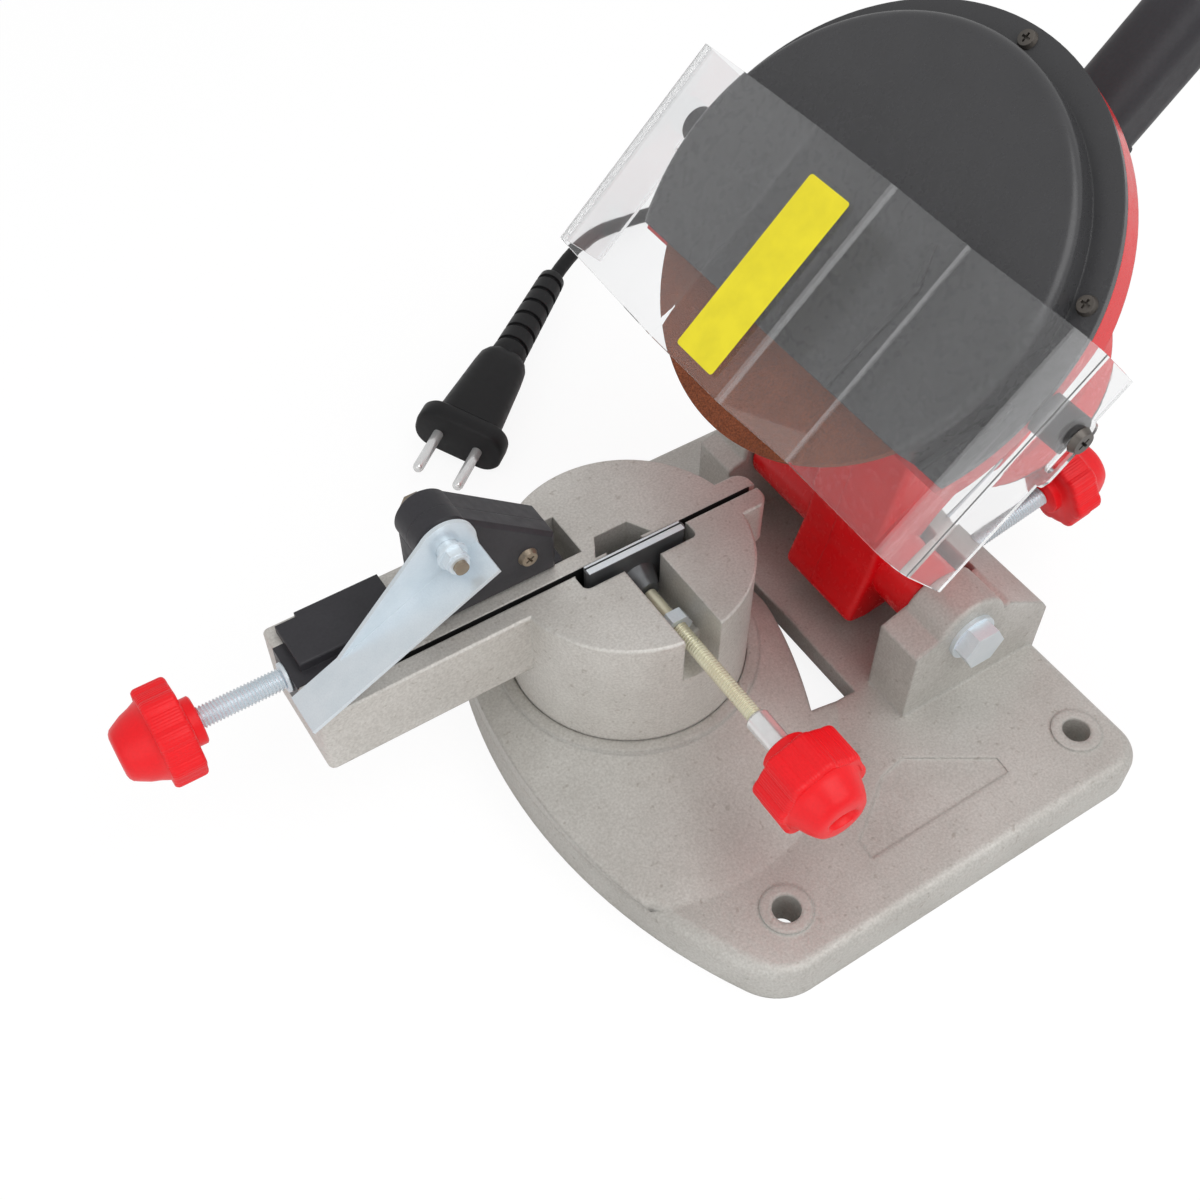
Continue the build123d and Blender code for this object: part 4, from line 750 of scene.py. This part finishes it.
def make_screws():
    clamp_end = mm(CLAMP_X, -12.15, CLAMP_Z)
    thread = helix_rod(
        "clamp_screw_thread", clamp_end + BACK * 13.85 * MM, BACK, 51.2, 3.0, 1.2
    )
    place(thread, "clamp_handle", "yellow_zinc", "clamp_screw")
    neck = [(1.9, 0.0), (2.5, 0.6), (2.5, 13.4), (2.2, 14.2)]
    rod("clamp_screw_neck", "clamp_handle", "yellow_zinc", (clamp_end, BACK, neck))
    shank = [(2.7, 0.0), (3.9, 0.35), (4.5, 1.2), (4.5, 16.0), (4.5, 29.0)]
    shank_start = mm(CLAMP_X, -76.6, CLAMP_Z)
    rod("clamp_screw_shank", "clamp_handle", "chrome", (shank_start, BACK, shank))

    adjuster_start = mm(-30, ADJUST_Y, ADJUST_Z)
    thread = helix_rod("adjuster_thread", adjuster_start, LEFT, 141.0, 4.0, 1.25)
    place(thread, "adjuster", "zinc", "adjust_screw")
    collar = [(4.2, 0.0), (5.4, 0.1), (5.6, 0.5), (5.4, 1.5), (4.2, 1.6)]
    clip = [(3.4, 0.0), (4.3, 0.1), (4.3, 1.1), (3.4, 1.2)]
    rod(
        "adjuster_collars", "adjuster", "zinc",
        (mm(-126.06, ADJUST_Y, ADJUST_Z), LEFT, collar),
        (mm(-84.4, ADJUST_Y, ADJUST_Z), LEFT, clip),
    )

    thread = helix_rod("stop_thread", STOP_POINT - STOP_WAY * 8.84 * MM, STOP_WAY, 71.0, 4.0, 1.25)
    place(thread, "stop_handle", "zinc", "depth_screw")


make_screws()


# ---- clamp plate ------------------------------------------------------------
def make_clamp_strips():
    """Bright zinc strips on both sides of the groove in the plate's top: the plate's zinc, made
    lighter as a painted highlight of its lit top.
    """
    half, top = 20.3, 85.0
    for number, (front, back) in enumerate(((-4.45, -1.9), (-1.1, -0.3))):
        middle = mm(CLAMP_X, (front + back) / 2, top)
        wide, long, corner = back - front, 2 * half, 0.4

        def build(bm):
            bridge(bm, [
                rounded_loop(middle + UP * lift * MM, ACROSS, LEFT, wide, long, corner, 4)
                for lift in (-0.3, 0.08)
            ])

        place(mesh_from(f"clamp_lit_top_{number}", build), "clamp", "lit_top_zinc", slot="zinc")


make_clamp_strips()


# ---- chain slot -------------------------------------------------------------
def make_slot_shadow_sheet():
    """Dark sheet on the far wall of the slot that the chain runs in, a painted shadow of the deep
    slot.
    """
    left, right, low, high = -125.4, 55.0, 70.1, 81.85
    middle = mm((left + right) / 2, 0, (low + high) / 2)
    long, tall, corner = right - left, high - low, 0.5

    def build(bm):
        bridge(bm, [
            rounded_loop(middle + ACROSS * y * MM, LEFT, UP, long, tall, corner, 4)
            for y in (1.85, 2.08)
        ])

    # The dark sheet is painted shadow, not a part of the vise.
    place(mesh_from("chain_slot_painted_shadow", build), "vise", "slot_painted_shadow", slot="dark_steel")


make_slot_shadow_sheet()


# ---- frame ------------------------------------------------------------------
FINISH = {
    "cast": ("base_casting",),
    "vise_cast": ("vise_casting",),
    "bronze": ("block_screws", "pawl_bolt"),
    # The clamp plate's dark colour is painted shade.
    "painted_shade_steel": ("clamp_plate",),
    "zinc": (
        "swivel_washer", "lock_washer", "swivel_bolt", "clamp_nut", "pawl", "pawl_nut",
        "pivot_bolt", "pivot_washers", "pivot_nut", "depth_tip", "spindle_nut", "wheel_flanges",
        "pawl_bush",
    ),
    "dark_steel": ("guard_screws", "cover_screws"),
    "steel": ("pivot_bushes", "spindle", "armature", "stator", "bearings"),
    "red_shell": ("arm_near", "arm_far", "motor_housing", "back_shell"),
    "black": (
        "guide_insert", "block_front", "block_rear", "end_cap", "handle", "switch_body", "rocker",
        "guard_posts", "fan", "brush_holders", "brushes", "carriage",
    ),
    "cover": ("wheel_cover",),
    "abrasive": ("wheel",),
    "copper": ("armature_coils", "field_coils", "commutator"),
}
for look, nodes in FINISH.items():
    for node in nodes:
        dress(node, look)


# ---- guard ------------------------------------------------------------------
GUARD_PANELS = [(1, 0), (33.2, 0), (27, 12), (75.5, -14), (0, 1)]     # across, rise


def make_guard():
    """The bent sheet: its cut edges frosted and whitened further as painted highlight, and its
    bends whitened as painted highlight.
    """
    sheet = link("guard_sheet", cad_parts["guard"].data.copy())
    place(sheet, "wheel_guard", "clear", "guard", slot="clear")
    sheet.data.materials.append(LOOK["clear_bend_highlight"])
    sheet.data.materials.append(LOOK["clear_edge_frost_and_highlight"])
    panels = []
    for across, rise in GUARD_PANELS:
        size = math.hypot(across, rise)
        panels.append((ACROSS * -rise + AHEAD * across) / size)
    panels += [ACROSS, (ACROSS * 3.5 + AHEAD * 53.5).normalized()]
    # Cut edges and bend faces get the whitened sheets, a painted highlight.
    for face in sheet.data.polygons:
        if abs(face.normal.dot(ALONG)) > 0.9:
            face.material_index = 2
        elif all(abs(face.normal.dot(panel)) < 0.9995 for panel in panels):
            face.material_index = 1


make_guard()


# ---- yellow strip -----------------------------------------------------------
def make_strip():
    """Plain yellow film on the guard's flat front panel."""
    near, far, low, high, face = -8.6, 10.7, 20.5, 88.0, 131.25
    long, wide, corner = high - low, far - near, 1.2
    middle = head((low + high) / 2, face, (near + far) / 2)

    def build(bm):
        bridge(bm, [
            rounded_loop(middle + AHEAD * lift * MM, ALONG, ACROSS, long, wide, corner)
            for lift in (0.02, 0.12)
        ])

    place(mesh_from("guard_strip", build), "wheel_guard", "yellow", slot="clear")


make_strip()


# ---- stage ------------------------------------------------------------------
FLOOR_HALF = 3.0
FLOOR_WHITE_SHARE = 0.85        # of plain white in what the camera sees of the floor
FLOOR_WHITE = 1.05
SKY = 0.62
LAMP_TARGET = (30, -20, 60)


def seen_directly(tree):
    """1 for rays from the camera, straight or through the guard."""
    ray = tree.nodes.new("ShaderNodeLightPath")
    seen = tree.nodes.new("ShaderNodeMath")
    seen.operation = "MAXIMUM"
    tree.links.new(ray.outputs["Is Camera Ray"], seen.inputs[0])
    tree.links.new(ray.outputs["Is Transmission Ray"], seen.inputs[1])
    return seen.outputs[0]


def make_stage():
    """Pale floor that looks white but keeps the object's shadow."""
    half = FLOOR_HALF
    data = bpy.data.meshes.new("floor")
    corners = [(-half, -half, 0), (half, -half, 0), (half, half, 0), (-half, half, 0)]
    data.from_pydata(corners, [], [(0, 1, 2, 3)])
    floor = link("floor", data)
    material = bpy.data.materials.new("floor")
    material.use_nodes = True
    tree = material.node_tree
    shader = tree.nodes["Principled BSDF"]
    shader.inputs["Base Color"].default_value = (0.92, 0.92, 0.92, 1)
    shader.inputs["Roughness"].default_value = 0.9
    glow = tree.nodes.new("ShaderNodeEmission")
    glow.inputs["Color"].default_value = (1, 1, 1, 1)
    glow.inputs["Strength"].default_value = FLOOR_WHITE
    share = tree.nodes.new("ShaderNodeMath")
    share.operation = "MULTIPLY"
    share.inputs[1].default_value = FLOOR_WHITE_SHARE
    tree.links.new(seen_directly(tree), share.inputs[0])
    mix = tree.nodes.new("ShaderNodeMixShader")
    tree.links.new(share.outputs[0], mix.inputs[0])
    tree.links.new(shader.outputs[0], mix.inputs[1])
    tree.links.new(glow.outputs[0], mix.inputs[2])
    tree.links.new(mix.outputs[0], tree.nodes["Material Output"].inputs["Surface"])
    data.materials.append(material)


def make_world():
    """White to the camera and through the guard, and an even soft grey to the rest."""
    world = bpy.data.worlds.new("studio")
    bpy.context.scene.world = world
    world.use_nodes = True
    tree = world.node_tree
    back = tree.nodes["Background"]
    back.inputs["Color"].default_value = (1, 1, 1, 1)
    level = tree.nodes.new("ShaderNodeMapRange")
    level.inputs["To Min"].default_value = SKY
    level.inputs["To Max"].default_value = 1.0
    tree.links.new(seen_directly(tree), level.inputs["Value"])
    tree.links.new(level.outputs["Result"], back.inputs["Strength"])


def make_lamp(name, place_mm, size, power):
    """Square soft lamp, size metres wide, aimed at the vise."""
    data = bpy.data.lights.new(name, "AREA")
    data.shape = "RECTANGLE"
    data.size = size
    data.size_y = size
    data.energy = power
    lamp = bpy.data.objects.new(name, data)
    lamp.location = mm(*place_mm)
    aim = mm(*LAMP_TARGET) - lamp.location
    lamp.rotation_euler = aim.to_track_quat("-Z", "Y").to_euler()
    bpy.context.scene.collection.objects.link(lamp)


make_stage()
make_world()
make_lamp("key", (250, -550, 1000), 0.9, 4.5)
make_lamp("fill", (-900, -500, 500), 0.8, 1.5)

bpy.context.scene.view_settings.view_transform = "Standard"
